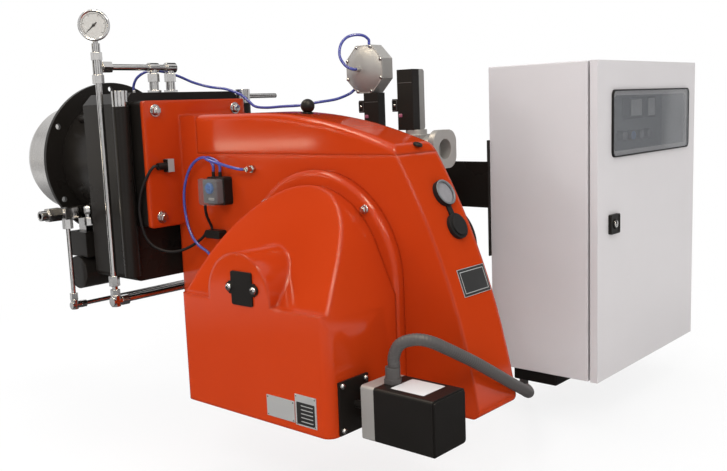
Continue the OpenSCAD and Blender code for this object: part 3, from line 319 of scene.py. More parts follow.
# small makers, sizes in millimetres
nearWay, rearWay, upWay = (0, -1, 0), (1, 0, 0), (0, 0, 1)


def mm(*p):
    return Vector(p) / 1000


def stand(at, out, up=upWay):
    # place with z pointing out of the surface and y as near up as it goes
    z = Vector(out).normalized()
    y = Vector(up) - z * z.dot(Vector(up))
    y = y.normalized() if y.length > 0.05 else z.orthogonal().normalized()
    return Matrix.Translation(mm(*at)) @ Matrix((y.cross(z), y, z)).transposed().to_4x4()


def skin(bm, rings, slot=0, low=True, high=True):
    count = len(rings[0])
    made = [bm.faces.new((a[j], a[(j + 1) % count], b[(j + 1) % count], b[j]))
            for a, b in zip(rings, rings[1:]) for j in range(count)]
    if low:
        made.append(bm.faces.new(list(reversed(rings[0]))))
    if high:
        made.append(bm.faces.new(rings[-1]))
    for f in made:
        f.material_index = slot


def ringOf(bm, place, outline, z):
    return [bm.verts.new(place @ mm(x, y, z)) for x, y in outline]


def circle(r, sides):
    turns = (math.tau * (j + 0.5) / sides for j in range(sides))
    return [(r * math.cos(a), r * math.sin(a)) for a in turns]


def roundRect(w, h, r, steps=5):
    corners = ((1, 1, 0), (-1, 1, 90), (-1, -1, 180), (1, -1, 270))
    return [(sx * (w / 2 - r) + r * math.cos(a), sy * (h / 2 - r) + r * math.sin(a))
            for sx, sy, start in corners
            for a in (math.radians(start + 90 * k / steps) for k in range(steps + 1))]


def lathe(bm, place, profile, sides=28, slot=0, low=True, high=True):
    # turned form from (radius, height) pairs; six sides give a hexagon
    skin(bm, [ringOf(bm, place, circle(r, sides), h) for r, h in profile], slot, low, high)


def pad(bm, place, w, h, r, low, high, edge=1.0, slot=0):
    # rounded slab with a rounded upper edge
    levels = [(0, low)] + [(edge * (1 - math.cos(a)), high - edge * (1 - math.sin(a)))
                           for a in (0, math.pi / 6, math.pi / 3, math.pi / 2)]
    skin(bm, [ringOf(bm, place, roundRect(w - 2 * i, h - 2 * i, max(r - i, 0.2)), z) for i, z in levels], slot)


def rim(bm, place, w, h, r, width, low, high, slot=0):
    # flat frame of one width round a rounded rectangle
    outer = roundRect(w, h, r)
    inner = roundRect(w - 2 * width, h - 2 * width, max(r - width, 0.2))
    rings = [ringOf(bm, place, o, z) for o, z in ((outer, low), (outer, high), (inner, high), (inner, low))]
    skin(bm, rings + rings[:1], slot, False, False)


def bolt(bm, place, across, high, washer=0):
    # hexagon head with its thread's end, on a washer where it has one
    lift = 0
    if washer:
        lift = 2
        lathe(bm, place, [(washer / 2, 0), (washer / 2, 1.3), (washer / 2 - 0.6, lift)], 36)
    r = across / math.sqrt(3)
    lathe(bm, place, [(r, lift), (r, lift + high * 0.78), (r * 0.84, lift + high)], 6)
    lathe(bm, place, [(r * 0.62, lift + high), (r * 0.55, lift + high + 0.8)], 24)


def panHead(bm, place, across, high, slot=0, cross=1):
    r = across / 2
    long, thin = r, r * 0.28
    lathe(bm, place, [(r, 0), (r, high * 0.4), (r * 0.82, high * 0.8), (r * 0.5, high)], 24, slot)
    for w, h in ((long, thin), (thin, long)):
        pad(bm, place, w, h, 0.2, high, high + 0.25, 0.1, cross)


def addPiece(name, bm, mats, body="burner", replace=(), smooth=38):
    mesh = bpy.data.meshes.new(name)
    bmesh.ops.recalc_face_normals(bm, faces=bm.faces)
    bm.to_mesh(mesh)
    bm.free()
    for m in mats if isinstance(mats, (list, tuple)) else [mats]:
        mesh.materials.append(m)
    mesh.shade_smooth()
    mesh.set_sharp_from_angle(angle=math.radians(smooth))
    o = putIn(name, mesh)
    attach(o, body)
    if replace:
        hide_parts(*replace)
    return o


# cords: routes repeated from the part's source, in millimetres
cordForm = {"plain": {"step": 3, "sides": 12}, "ribbed": {"step": 1.25, "sides": 20, "deep": 0.3}}
cords = [
    {"name": "servoConduit", "node": "servo_conduit", "diameter": 20, "finish": greyPlastic,
     "slot": "grey_plastic", "stiffness": "stiff", "ribs": 5.0,
     "route": [(1025, -188, -302), (1025, -188, -286), (1035, -187, -267), (1051, -182, -258),
               (1069, -174, -256), (1082, -160, -262), (1090, -138, -275), (1095, -110, -291),
               (1101, -74, -312), (1106, -32, -338), (1108, 14, -366), (1102, 66, -394), (1074, 132, -424),
               (1020, 226, -458), (958, 322, -490), (922, 376, -514), (905, 405, -525), (896, 414, -516),
               (896, 414, -500)]},
    {"name": "switchHose", "node": "switch_hose", "diameter": 6, "finish": blueTube, "slot": "blue_hose",
     "stiffness": "medium",
     "route": [(465, -70, -16), (465, -70, -4), (453, -71, 8), (434, -72, 12), (408, -73, 2), (386, -73, -19),
               (371, -73, -49), (367, -74, -80), (373, -76, -114), (391, -81, -146), (413, -81, -169),
               (431, -71.5, -185), (442.5, -71.5, -196.5)]},
    {"name": "wallHose", "node": "wall_hose", "diameter": 6, "finish": blueTube, "slot": "blue_hose",
     "stiffness": "medium",
     "route": [(486, -70, -16), (486, -70, -6), (480, -72, 5), (469, -80, 12), (467, -90, 13), (481, -95, 9),
               (503, -90, 3), (526, -79, -5), (547, -71.5, -10), (561, -71.5, -10)]},
    {"name": "switchCable", "node": "switch_cable", "diameter": 6, "finish": blackRubber,
     "slot": "black_rubber", "stiffness": "medium",
     "route": [(457, -90, -82), (457, -90, -94), (453, -84, -108), (448, -74, -122), (447, -69, -131),
               (447, -69, -137)]},
    {"name": "sensorCable", "node": "sensor_cable", "diameter": 6, "finish": blackRubber,
     "slot": "black_rubber", "stiffness": "medium",
     "route": [(355, -126, -4), (355, -137, -4), (346, -147, -22), (331, -153, -52), (320, -154, -86),
               (319, -152, -120), (323, -145, -152), (333, -134, -172), (348, -118, -183), (366, -101, -185),
               (385, -86, -178), (403, -74, -166), (419, -68, -153), (425, -68, -146), (433, -68, -146)]},
    {"name": "domeHose", "node": "dome_hose", "diameter": 6, "finish": blueTube, "slot": "blue_hose",
     "stiffness": "medium",
     "route": [(639, 184, 181), (639, 174, 181), (628, 164, 189), (616, 161, 208), (614, 166, 230),
               (621, 176, 246), (634, 190, 252), (646, 204, 250), (651, 214, 242), (651, 215, 237),
               (651, 215, 231)]},
    {"name": "impulseHose", "node": "impulse_hose", "diameter": 6, "finish": blueTube, "slot": "blue_hose",
     "stiffness": "medium",
     "route": [(194, -60, 158), (194, -60, 168), (202, -57, 183), (214, -48, 194), (219, -32, 199),
               (218, 2, 198), (222, 42, 188), (230, 78, 173), (252, 106, 162), (292, 122, 155),
               (332, 128, 142), (360, 128, 126), (388, 122, 113), (430, 116, 109), (484, 114, 110),
               (534, 120, 111), (562, 146, 116), (578, 184, 121), (588, 212, 130), (596, 222, 138),
               (603.6, 222, 145.6)]},
]


def smoothRoute(points, step, parts=24, fewest=12):
    # Catmull-Rom through the points, then even steps
    p = [mm(*q) for q in points]
    p = [2 * p[0] - p[1]] + p + [2 * p[-1] - p[-2]]
    fine = []
    for k in range(1, len(p) - 2):
        for j in range(parts):
            t = j / parts
            fine.append(0.5 * (2 * p[k] + (p[k + 1] - p[k - 1]) * t
                               + (2 * p[k - 1] - 5 * p[k] + 4 * p[k + 1] - p[k + 2]) * t * t
                               + (3 * p[k] - p[k - 1] - 3 * p[k + 1] + p[k + 2]) * t ** 3))
    fine.append(p[-2])
    total = sum((b - a).length for a, b in zip(fine, fine[1:]))
    count = max(fewest, round(total / (step / 1000)))
    even, gone, k = [fine[0]], 0.0, 0
    for j in range(1, count):
        want = total * j / count
        while gone + (fine[k + 1] - fine[k]).length < want:
            gone += (fine[k + 1] - fine[k]).length
            k += 1
        even.append(fine[k].lerp(fine[k + 1], (want - gone) / (fine[k + 1] - fine[k]).length))
    return even + [fine[-1]], total


def sweep(bm, path, girths, sides):
    # closed tube along a path, with a radius for each step
    side = (path[1] - path[0]).normalized().orthogonal().normalized()
    rings = []
    for k, (p, r) in enumerate(zip(path, girths)):
        t = (path[min(k + 1, len(path) - 1)] - path[max(k - 1, 0)]).normalized()
        side = (side - t * side.dot(t)).normalized()
        up = t.cross(side)
        rings.append([bm.verts.new(p + r * (math.cos(a) * side + math.sin(a) * up))
                      for a in (math.tau * j / sides for j in range(sides))])
    skin(bm, rings)


def addCord(c):
    form = cordForm["ribbed" if "ribs" in c else "plain"]
    step, radius = form["step"], c["diameter"] / 2000
    path, length = smoothRoute(c["route"], step)
    girths = [radius] * len(path)
    if "ribs" in c:
        deep = form["deep"] / 1000
        girths = [radius - deep + deep * math.cos(math.tau * k * step / c["ribs"]) for k in range(len(path))]
    bm = bmesh.new()
    sweep(bm, path, girths, form["sides"])
    o = addPiece(c["name"], bm, c["finish"], replace=[c["node"]], smooth=60)
    print("cord", c["name"], round(length, 3))


for c in cords:
    addCord(c)

# bolts of the mating plate, the drum, the boss cover and the servo plate
fasteners = {
    "plate": {"x": 347, "y": (-117.5, 97.5), "z": (-111, 111), "across": 17, "high": 8, "washer": 26},
    "drum": {"centre": (754, -78.5, -199), "radius": 178, "turns": (45, 135), "across": 12, "high": 6,
             "washer": 16},
    "boss": {"y": -268.5, "at": ((732, -192), (794, -192)), "across": 13, "high": 5},
    "servo": {"x": 958.5, "y": (-238.5, -182.5), "z": (-408, -334), "across": 10, "high": 5},
}


def addFasteners():
    bm = bmesh.new()
    p, d, c, v = (fasteners[k] for k in ("plate", "drum", "boss", "servo"))
    for y in p["y"]:
        for z in p["z"]:
            bolt(bm, stand((p["x"], y, z), rearWay), p["across"], p["high"], p["washer"])
    x, y, z = d["centre"]
    for t in (math.radians(t) for t in d["turns"]):
        place = stand((x + d["radius"] * math.cos(t), y, z + d["radius"] * math.sin(t)), nearWay)
        bolt(bm, place, d["across"], d["high"], d["washer"])
    for x, z in c["at"]:
        panHead(bm, stand((x, c["y"], z), nearWay), c["across"], c["high"])
    for y in v["y"]:
        for z in v["z"]:
            panHead(bm, stand((v["x"], y, z), rearWay), v["across"], v["high"])
    addPiece("frameBolts", bm, [brightPlate, inkBlack])


addFasteners()

# dial, needle and bezel on the gauge case; strokes are length and width at every so many marks
gauge = {"riser": (245, -180), "out": (0.8192, -0.5736, 0), "face": 12, "radius": 31.5, "dial": 26.5,
         "sheet": 0.3, "sides": 64, "sweep": (225, -45), "marks": 50,
         "strokes": {10: (4.6, 0.9), 5: (3.2, 0.45), 1: (1.9, 0.45)}, "strokeIn": 2.4, "arcIn": (2, 2.4),
         "arcParts": 48, "needle": 223, "reach": 20, "tail": 8}


def addGauge():
    g = gauge
    r, f, d, sides = g["radius"], g["face"], g["dial"], g["sides"]
    sheet = f + g["sheet"]
    place = stand((*g["riser"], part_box("pressure_gauge")[1].z * 1000 - r), g["out"])
    start, end = g["sweep"]
    bm = bmesh.new()
    lathe(bm, place, [(d, f), (d, sheet)], sides, 1)
    bezel = [(r, f - 6), (r + 0.5, f - 4), (r + 0.5, f - 0.5), (r - 0.6, f + 1.6), (r - 2.2, f + 2.2),
             (r - 3.8, f + 1.6), (d, sheet)]
    lathe(bm, place, bezel, sides, 0, False, False)
    for k in range(g["marks"] + 1):
        a = math.radians(start + (end - start) * k / g["marks"])
        size, wide = next(stroke for every, stroke in g["strokes"].items() if k % every == 0)
        middle = Matrix.Translation(mm(d - g["strokeIn"] - size / 2, 0, 0))
        pad(bm, place @ Matrix.Rotation(a, 4, "Z") @ middle, size, wide, 0.1, sheet, f + 0.5, 0.05, 2)
    outer, inner = (d - i for i in g["arcIn"])
    steps = [math.radians(start + (end - start) * k / g["arcParts"]) for k in range(g["arcParts"] + 1)]
    for a, b in zip(steps, steps[1:]):
        corners = [(outer, a), (outer, b), (inner, b), (inner, a)]
        line = bm.faces.new([bm.verts.new(place @ mm(q * math.cos(t), q * math.sin(t), f + 0.45))
                             for q, t in corners])
        line.material_index = 2
    turned = place @ Matrix.Rotation(math.radians(g["needle"]), 4, "Z")
    tip, tail = g["reach"], -g["tail"]
    hand = [(tail, -1.3), (0, -1.5), (tip, -0.4), (tip, 0.4), (0, 1.5), (tail, 1.3)]
    skin(bm, [ringOf(bm, turned, hand, z) for z in (f + 0.9, f + 1.3)], 2)
    lathe(bm, place, [(3, sheet), (3, f + 1.5), (2.2, f + 1.9)], 24, 2)
    addPiece("gaugeDial", bm, [brightPlate, dialWhite, inkBlack])


addGauge()

# rubber gasket round the pane, and the lock's insert
doorTrim = {"past": 4, "round": 12, "gasket": 2.6, "gasketHigh": 4.6, "lock": 40, "lockRim": 3, "lockHigh": 1.2,
            "collar": 11, "core": 7.5, "slit": (3, 9)}


def addDoorTrim():
    g = doorTrim
    low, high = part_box("door_window")
    middle = (low + high) * 500
    w, h = ((high[k] - low[k]) * 1000 + g["past"] for k in (1, 2))
    bm = bmesh.new()
    place = stand((low.x * 1000, middle.y, middle.z), rearWay)
    rim(bm, place, w, h, g["round"], g["gasket"], 0, g["gasketHigh"])
    addPiece("windowGasket", bm, blackRubber, "door")
    low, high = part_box("door_lock")
    middle = (low + high) * 500
    place = stand((high.x * 1000, middle.y, middle.z), rearWay)
    c, r = g["collar"], g["core"]
    bm = bmesh.new()
    rim(bm, place, g["lock"], g["lock"], g["lockRim"], g["lockRim"], -1, g["lockHigh"])
    lathe(bm, place, [(c, -0.5), (c, g["lockHigh"]), (c - 1, 2)], 36)
    lathe(bm, place, [(r, 1.9), (r, 2.6), (r - 0.9, 3)], 32, 1)
    pad(bm, place, *g["slit"], 0.6, 2.9, 3.3, 0.2, 0)
    addPiece("lockInsert", bm, [blackPlastic, brightPlate], "door")


addDoorTrim()
print("bolts, gauge and door trim made")

# works, setting wheel and pale scale behind the pressure switch's clear cover
switch = {"works": (480, -79.5, -55), "size": (45, 48), "deep": 15, "wheel": (481, -94.5, -48), "across": 22,
          "high": 5, "grips": 20, "scale": (484, -94.5, -70), "strip": (17, 5)}


def addSwitchWheel():
    g = switch
    bm = bmesh.new()
    pad(bm, stand(g["works"], nearWay), *g["size"], 4, 0, g["deep"], 2, 2)
    r, h = g["across"] / 2, g["high"]
    shoulder = h * 0.7
    place = stand(g["wheel"], nearWay)
    lathe(bm, place, [(r, 0), (r, shoulder), (r - 1.2, h), (r * 0.6, h), (r * 0.5, h * 0.8)], 48)
    pad(bm, place, r * 1.3, 4, 1.5, shoulder, h + 2, 0.8)
    for k in range(g["grips"]):
        turned = place @ Matrix.Rotation(math.tau * k / g["grips"], 4, "Z") @ Matrix.Translation(mm(r, 0, 0))
        pad(bm, turned, 1.2, 1.6, 0.4, 0, shoulder, 0.3)
    pad(bm, stand(g["scale"], nearWay), *g["strip"], 1, 0, 1, 0.3, 1)
    addPiece("switchWheel", bm, [blueCap, blankPlate, motorGrey])


addSwitchWheel()

# plates without words: dark fields with a pale line or bare rows, and rivets
plates = {
    "rear": {"at": (1041.9, 13.5, -197.6), "out": (0.94, 0, 0.342), "field": (77, 46), "line": (69, 38),
             "wide": 1.3},
    "tall": {"at": (902, -266.5, -379), "field": (41, 37), "drop": -5, "rows": 5, "pitch": 6.6,
             "bar": (27, 1.5), "aside": 3},
    "rivets": [(813, -370), (873, -370), (813, -400), (873, -400), (881, -356), (923, -356), (881, -402),
               (923, -402)],
    "ink": (-0.2, 0.3), "line": (0.2, 0.45),
}


def addPlateFields():
    bm = bmesh.new()
    rear, tall, ink, line = (plates[k] for k in ("rear", "tall", "ink", "line"))
    place = stand(rear["at"], rear["out"])
    pad(bm, place, *rear["field"], 0.6, *ink, 0.1)
    rim(bm, place, *rear["line"], 0.8, rear["wide"], *line, 1)
    place = stand(tall["at"], nearWay) @ Matrix.Translation(mm(0, tall["drop"], 0))
    pad(bm, place, *tall["field"], 1, *ink, 0.1)
    for k in range(tall["rows"]):
        rise = tall["pitch"] * ((tall["rows"] - 1) / 2 - k)
        row = place @ Matrix.Translation(mm(tall["aside"], rise, 0))
        pad(bm, row, *tall["bar"], 0.4, *line, 0.1, 1)
    for x, z in plates["rivets"]:
        lathe(bm, stand((x, tall["at"][1], z), nearWay), [(1.5, -0.2), (1.4, 0.5), (0.8, 0.9)], 16, 2)
    addPiece("plateFields", bm, [inkBlack, blankPlate, brightPlate])


addPlateFields()

# label on the servo cover's top, left bare
servoLabel = {"at": (1071, -188), "size": (56, 64), "round": 2, "low": -0.1, "high": 0.4, "edge": 0.15}


def addServoLabel():
    g = servoLabel
    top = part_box("servo_cover")[1].z * 1000
    bm = bmesh.new()
    place = stand((*g["at"], top), upWay, rearWay)
    pad(bm, place, *g["size"], g["round"], g["low"], g["high"], g["edge"])
    addPiece("servoLabel", bm, labelWhite)


addServoLabel()

# grey clamp ring over the sight glass rubber
sightRing = {"at": (981.25, 16, -50.35), "out": (0.888, 0, 0.460), "outer": 23.4, "inner": 19.6, "reach": 26}


def addSightBezel():
    g = sightRing
    out = Vector(g["out"]).normalized()
    ring = nodes["sight_ring"]
    near = [ring.matrix_world @ v.co - mm(*g["at"]) for v in ring.data.vertices]
    rise = max(d.dot(out) for d in near if (d - out * d.dot(out)).length < g["reach"] / 1000) * 1000
    outer, inner, top = g["outer"], g["inner"], rise + 1.2
    profile = [(outer, rise - 1), (outer, rise + 0.6), (outer - 0.8, top), (inner + 1.2, top), (inner, rise),
               (inner, rise - 2)]
    bm = bmesh.new()
    lathe(bm, stand(g["at"], out), profile, 56, 0, False, False)
    addPiece("sightBezel", bm, motorGrey)


addSightBezel()

# closing screws of the governor's dome
dome = {"at": (639, 210, 181), "radius": 50, "count": 8, "across": 7, "high": 3.5}


def addDomeScrews():
    bm = bmesh.new()
    x, y, z = dome["at"]
    for k in range(dome["count"]):
        a = math.tau * (k + 0.5) / dome["count"]
        place = stand((x + dome["radius"] * math.cos(a), y, z + dome["radius"] * math.sin(a)), nearWay)
        panHead(bm, place, dome["across"], dome["high"])
    addPiece("domeScrews", bm, [brightPlate, inkBlack])


addDomeScrews()

# actuator seams, plug frames with their screws, and lamps
actuators = {"front": 210, "seams": [(635, 675, 112), (727, 767, 148)], "seamHigh": 1.2,
             "plugs": [(619, 635), (711, 727)], "plugZ": (90, 116), "plugRim": 1.2, "screw": (6, 2),
             "lamp": (9, 7), "lampIn": 7, "lampZ": 82}


def addActuatorTrim():
    g = actuators
    bm = bmesh.new()
    for low, high, z in g["seams"]:
        place = stand(((low + high) / 2, g["front"], z), nearWay)
        pad(bm, place, high - low - 3, g["seamHigh"], 0.5, -0.2, 0.5, 0.2, 0)
        place = stand((low + g["lampIn"], g["front"], g["lampZ"]), nearWay)
        pad(bm, place, *g["lamp"], 1.5, -0.2, 1.6, 0.6, 1)
    foot, top = g["plugZ"]
    for low, high in g["plugs"]:
        place = stand(((low + high) / 2, g["front"], (foot + top) / 2), nearWay)
        rim(bm, place, high - low - 3, top - foot - 4, 2, g["plugRim"], -0.2, 0.8, 0)
        panHead(bm, place, *g["screw"], 2, 0)
    addPiece("actuatorTrim", bm, [greyPlastic, lampPink, brightPlate])


addActuatorTrim()

# dark cover screw on the sloping roof
roofScrew = {"at": (932, 9, 34), "out": (0.35, 0, 0.94), "radius": 8.5, "high": 2.4}


def addRoofScrew():
    r, h = roofScrew["radius"], roofScrew["high"]
    profile = [(r, -2), (r, h * 0.5), (r - 1.4, h), (r * 0.5, h), (r * 0.42, h * 0.3)]
    bm = bmesh.new()
    lathe(bm, stand(roofScrew["at"], roofScrew["out"]), profile, 36)
    addPiece("roofScrew", bm, blackPlastic)


addRoofScrew()

# measuring plug and gas pilot fitting on the neck
neck = {"plug": (103, -131, -2), "plugRadius": 9, "line": (-107, 100), "cap": (45, 85, 9), "nut": (85, 100, 8.5),
        "block": (106, -112, 94), "blockSize": (14, 16, 48), "blockBolt": (9, 4)}


def addNeckFittings():
    bm = bmesh.new()
    r = neck["plugRadius"]
    profile = [(r, -4), (r, 3), (r - 1.2, 4.2), (r - 3, 4.2), (r - 3.6, 1.5)]
    lathe(bm, stand(neck["plug"], nearWay), profile, 32, 0)
    y, z = neck["line"]
    for slot, (low, high, r), sides in ((1, neck["cap"], 32), (0, neck["nut"], 6)):
        long = high - low
        lathe(bm, stand((low, y, z), rearWay), [(r - 1, 0), (r, 1), (r, long - 1), (r - 1, long)], sides, slot)
    w, d, h = neck["blockSize"]
    x, y, z = neck["block"]
    pad(bm, stand((x, y, z), nearWay), w, h, 3, -d / 2, d / 2, 1.5, 0)
    for lift in (-h / 4, h / 4):
        bolt(bm, stand((x, y - d / 2, z + lift), nearWay), *neck["blockBolt"])
    addPiece("neckFittings", bm, [brightPlate, blackPaint])


addNeckFittings()

# bright unions on the near side of the pump's oil block
unions = {"x": 133, "low": -136, "places": [(-162, 44, 9), (-134, 36, 8)], "bleed": (129, -148, -104),
          "bleedBolt": (10, 6, 15)}


def addPumpUnions():
    bm = bmesh.new()
    for y, high, r in unions["places"]:
        place = stand((unions["x"], y, unions["low"]), upWay, rearWay)
        nut, thin = high * 0.4, r - 0.6
        lathe(bm, place, [(r - 1, 0), (r, 1), (r, nut), (r - 1, nut + 1)], 6)
        lathe(bm, place, [(r * 0.7, nut), (r * 0.7, high * 0.62)], 28)
        lathe(bm, place, [(r - 1.4, high * 0.6), (thin, high * 0.64), (thin, high * 0.94), (r - 2.5, high)], 6)
    bolt(bm, stand(unions["bleed"], rearWay), *unions["bleedBolt"])
    addPiece("pumpUnions", bm, brightPlate)


addPumpUnions()

# faces of the instruments behind the pane: cards with frames, a knob and lamps, each with its slot
panelFaces = {
    "cards": [((1023, 531, 78), (62, 40), 1), ((1023, 700, 78), (60, 36), 0), ((1023, 782, 78), (40, 40), 0)],
    "knob": (1029, 542, 16), "knobRadius": 13, "grip": 6,
    "lamps": [(650, 3), (694, 2), (738, 3), (782, 3)], "lampX": 1019, "lampZ": 16, "lampRadius": 10,
}


def addPanelFaces():
    g = panelFaces
    bm = bmesh.new()
    for at, (w, h), slot in g["cards"]:
        place = stand(at, rearWay)
        pad(bm, place, w, h, 2, -0.2, 0.8, 0.3, slot)
        rim(bm, place, w + 4, h + 4, 3, 2, -0.2, 1.8, 1)
    r = g["knobRadius"]
    place = stand(g["knob"], rearWay)
    lathe(bm, place, [(r, -1), (r, 4), (r - 1, 5)], 36, 2)
    pad(bm, place, g["grip"], 2 * r - 2, 2, 4, 12, 1, 2)
    r = g["lampRadius"]
    for y, slot in g["lamps"]:
        place = stand((g["lampX"], y, g["lampZ"]), rearWay)
        lathe(bm, place, [(r, -1), (r, 1.5), (r * 0.8, 3.5), (r * 0.4, 4.6)], 28, slot)
    addPiece("panelFaces", bm, [labelWhite, greyPlastic, blueCap, sightGlass], "burner")


addPanelFaces()
print("trim of the switch, plates, servo, valve, neck and panel made")

# light and floor; fill lamps stay out of the gloss, and glints show only in it
studio = {
    "aim": (0.55, 0.1, -0.15), "fill": 0.92, "glintTint": (1.0, 0.87, 0.66),
    "lamps": [
        {"name": "keySoftbox", "at": (1.9, -2.3, 2.0), "size": (0.8, 0.8), "watts": 28, "shows": "diffuse"},
        {"name": "rightSoftbox", "at": (3.3, -0.2, 1.7), "size": (0.5, 0.5), "watts": 6, "shows": "both"},
        {"name": "leftSoftbox", "at": (-1.6, -1.9, 1.6), "size": (0.7, 0.7), "watts": 20, "shows": "diffuse"},
        {"name": "topSoftbox", "at": (0.5, 0.6, 2.6), "size": (1.0, 1.0), "watts": 16, "shows": "diffuse"},
        {"name": "nearGlint", "at": (1.67, -0.63, 2.3), "size": (1.0, 0.6), "watts": 60, "shows": "glossy"},
        {"name": "farGlint", "at": (-0.3, -0.8, 2.0), "size": (1.0, 0.4), "watts": 30, "shows": "glossy"},
        {"name": "cornerGlint", "at": (2.25, -1.25, 1.35), "size": (0.5, 0.5), "watts": 18, "shows": "glossy"},
        {"name": "ledgeGlint", "at": (-0.9, -1.75, 0.6), "size": (0.5, 0.06), "watts": 4, "shows": "glossy"},
        {"name": "lowGlint", "at": (-1.16, -1.5, -0.05), "size": (0.7, 0.03), "watts": 0.9, "shows": "glossy"},
    ],
    "flags": [
        {"name": "leftFlag", "at": (-1.6, -3.2, 0.2), "size": (2.2, 2.0)},
        {"name": "frontFlag", "at": (1.9, -3.4, 0.2), "size": (0.7, 3.0)},
        {"name": "rightFlag", "at": (4.2, -1.0, 0.2), "size": (0.8, 3.0)},
        {"name": "upperLeftFlag", "at": (-1.7, -1.7, 2.2), "size": (2.2, 2.0)},
        {"name": "upperBackFlag", "at": (-1.2, 2.2, 2.5), "size": (2.6, 2.2)},
        {"name": "floorFlag", "at": (-0.7, -1.65, -0.32), "size": (1.8, 0.5)},
        {"name": "backRightFlag", "at": (2.9, 3.1, 0.7), "size": (1.7, 3.8)},
        {"name": "backLeftFlag", "at": (-1.8, 3.0, 1.0), "size": (2.6, 3.6)},
    ],
    "flagGrey": 0.01,
}
# shadow is how white the floor is shown under the object, and mirrored is its grey in the gloss
ground = {"z": -0.57, "across": 60, "grey": 0.9, "rough": 0.9, "level": 0.1, "shadow": 0.80,
          "fade": (0.75, 1.7), "mirrored": 0.10, "mirrorFade": (1.3, 2.2)}
aim = Vector(studio["aim"])


def turnToAim(o, at, front):
    o.location = at
    o.rotation_mode = "QUATERNION"
    o.rotation_quaternion = (aim - Vector(at)).to_track_quat(front, "Y")


def addLamps():
    for lamp in studio["lamps"]:
        data = bpy.data.lights.new(lamp["name"], "AREA")
        data.shape = "RECTANGLE"
        data.size, data.size_y = lamp["size"]
        data.energy = lamp["watts"]
        if lamp["shows"] == "glossy":
            data.color = studio["glintTint"]
        o = putIn(lamp["name"], data)
        turnToAim(o, lamp["at"], "-Z")
        o.visible_glossy = lamp["shows"] != "diffuse"
        o.visible_diffuse = lamp["shows"] != "glossy"


def whiteWorld():
    # white to the camera, in the gloss and through glass, and a soft fill to the rest
    w = bpy.data.worlds.new("studioWhite")
    scene.world = w
    w.use_nodes = True
    t = w.node_tree
    t.nodes.clear()
    out = t.nodes.new("ShaderNodeOutputWorld")
    soft = t.nodes.new("ShaderNodeBackground")
    soft.inputs["Color"].default_value = (1, 1, 1, 1)
    soft.inputs["Strength"].default_value = studio["fill"]
    white = t.nodes.new("ShaderNodeBackground")
    white.inputs["Color"].default_value = (1, 1, 1, 1)
    white.inputs["Strength"].default_value = 1.0
    ray = t.nodes.new("ShaderNodeLightPath")
    seen = t.nodes.new("ShaderNodeMath")
    seen.operation = "MAXIMUM"
    clear = t.nodes.new("ShaderNodeMath")
    clear.operation = "MAXIMUM"
    mix = t.nodes.new("ShaderNodeMixShader")
    t.links.new(ray.outputs["Is Camera Ray"], seen.inputs[0])
    t.links.new(ray.outputs["Is Glossy Ray"], seen.inputs[1])
    t.links.new(seen.outputs[0], clear.inputs[0])
    t.links.new(ray.outputs["Is Transmission Ray"], clear.inputs[1])
    t.links.new(clear.outputs[0], mix.inputs["Fac"])
    t.links.new(soft.outputs[0], mix.inputs[1])
    t.links.new(white.outputs[0], mix.inputs[2])
    t.links.new(mix.outputs[0], out.inputs["Surface"])


def greyOf(value):
    return (value, value, value, 1)


def addSheet(name, w, h, z, m):
    mesh = bpy.data.meshes.new(name)
    corners = [(-w / 2, -h / 2, z), (w / 2, -h / 2, z), (w / 2, h / 2, z), (-w / 2, h / 2, z)]
    mesh.from_pydata(corners, [], [(0, 1, 2, 3)])
    mesh.materials.append(m)
    return putIn(name, mesh)


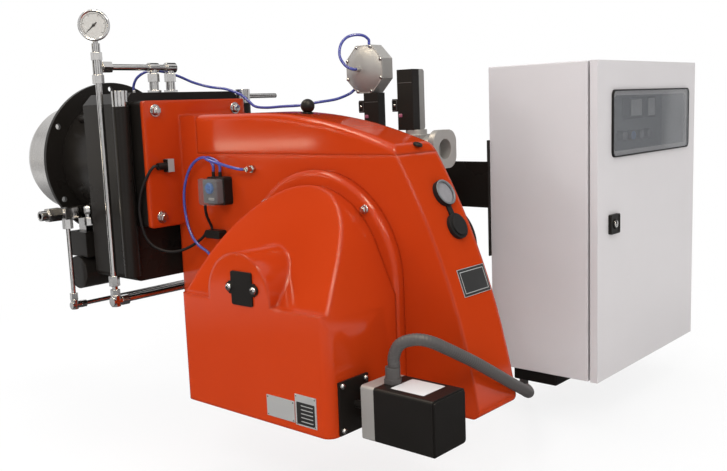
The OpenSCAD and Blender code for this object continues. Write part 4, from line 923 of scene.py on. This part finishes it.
def paleFloor():
    # the shadow shows near the object and the floor is white further out
    m = bpy.data.materials.new("paleFloor")
    m.use_nodes = True
    t = m.node_tree
    b = t.nodes["Principled BSDF"]
    b.inputs["Roughness"].default_value = ground["rough"]
    b.inputs["Specular IOR Level"].default_value = ground["level"]
    out = t.nodes["Material Output"]
    glow = t.nodes.new("ShaderNodeEmission")
    glow.inputs["Strength"].default_value = 1.0
    ray = t.nodes.new("ShaderNodeLightPath")
    where = t.nodes.new("ShaderNodeNewGeometry")
    far = t.nodes.new("ShaderNodeVectorMath")
    far.operation = "DISTANCE"
    far.inputs[1].default_value = (aim.x, aim.y, ground["z"])
    t.links.new(where.outputs["Position"], far.inputs[0])

    # share of plain white that the camera sees
    fade = t.nodes.new("ShaderNodeMapRange")
    fade.interpolation_type = "SMOOTHSTEP"
    fade.inputs["From Min"].default_value, fade.inputs["From Max"].default_value = ground["fade"]
    fade.inputs["To Min"].default_value = ground["shadow"]
    fade.inputs["To Max"].default_value = 1.0
    share = t.nodes.new("ShaderNodeMath")
    share.operation = "MULTIPLY"
    mix = t.nodes.new("ShaderNodeMixShader")
    t.links.new(far.outputs["Value"], fade.inputs["Value"])
    t.links.new(ray.outputs["Is Camera Ray"], share.inputs[0])
    t.links.new(fade.outputs["Result"], share.inputs[1])
    t.links.new(share.outputs[0], mix.inputs["Fac"])
    t.links.new(b.outputs[0], mix.inputs[1])
    t.links.new(glow.outputs[0], mix.inputs[2])
    t.links.new(mix.outputs[0], out.inputs["Surface"])

    # darker in the gloss, near the object alone
    under = t.nodes.new("ShaderNodeMapRange")
    under.inputs["From Min"].default_value, under.inputs["From Max"].default_value = ground["mirrorFade"]
    under.inputs["To Min"].default_value = 1.0
    under.inputs["To Max"].default_value = 0.0
    dim = t.nodes.new("ShaderNodeMath")
    dim.operation = "MULTIPLY"
    shown = t.nodes.new("ShaderNodeMix")
    shown.data_type = "RGBA"
    shown.inputs["A"].default_value = greyOf(ground["grey"])
    shown.inputs["B"].default_value = greyOf(ground["mirrored"])
    t.links.new(far.outputs["Value"], under.inputs["Value"])
    t.links.new(ray.outputs["Is Glossy Ray"], dim.inputs[0])
    t.links.new(under.outputs["Result"], dim.inputs[1])
    t.links.new(dim.outputs[0], shown.inputs["Factor"])
    t.links.new(shown.outputs["Result"], b.inputs["Base Color"])
    addSheet("floor", ground["across"], ground["across"], ground["z"], m)


def darkFlags():
    # studio flags that only show as dark bands in metal and gloss
    m = bpy.data.materials.new("flagCloth")
    m.use_nodes = True
    b = m.node_tree.nodes["Principled BSDF"]
    b.inputs["Base Color"].default_value = greyOf(studio["flagGrey"])
    b.inputs["Specular IOR Level"].default_value = 0.0
    for flag in studio["flags"]:
        o = addSheet(flag["name"], *flag["size"], 0, m)
        turnToAim(o, flag["at"], "Z")
        for way in ("camera", "diffuse", "transmission", "shadow", "volume_scatter"):
            setattr(o, "visible_" + way, False)


addLamps()
whiteWorld()
paleFloor()
darkFlags()
print("studio lit")
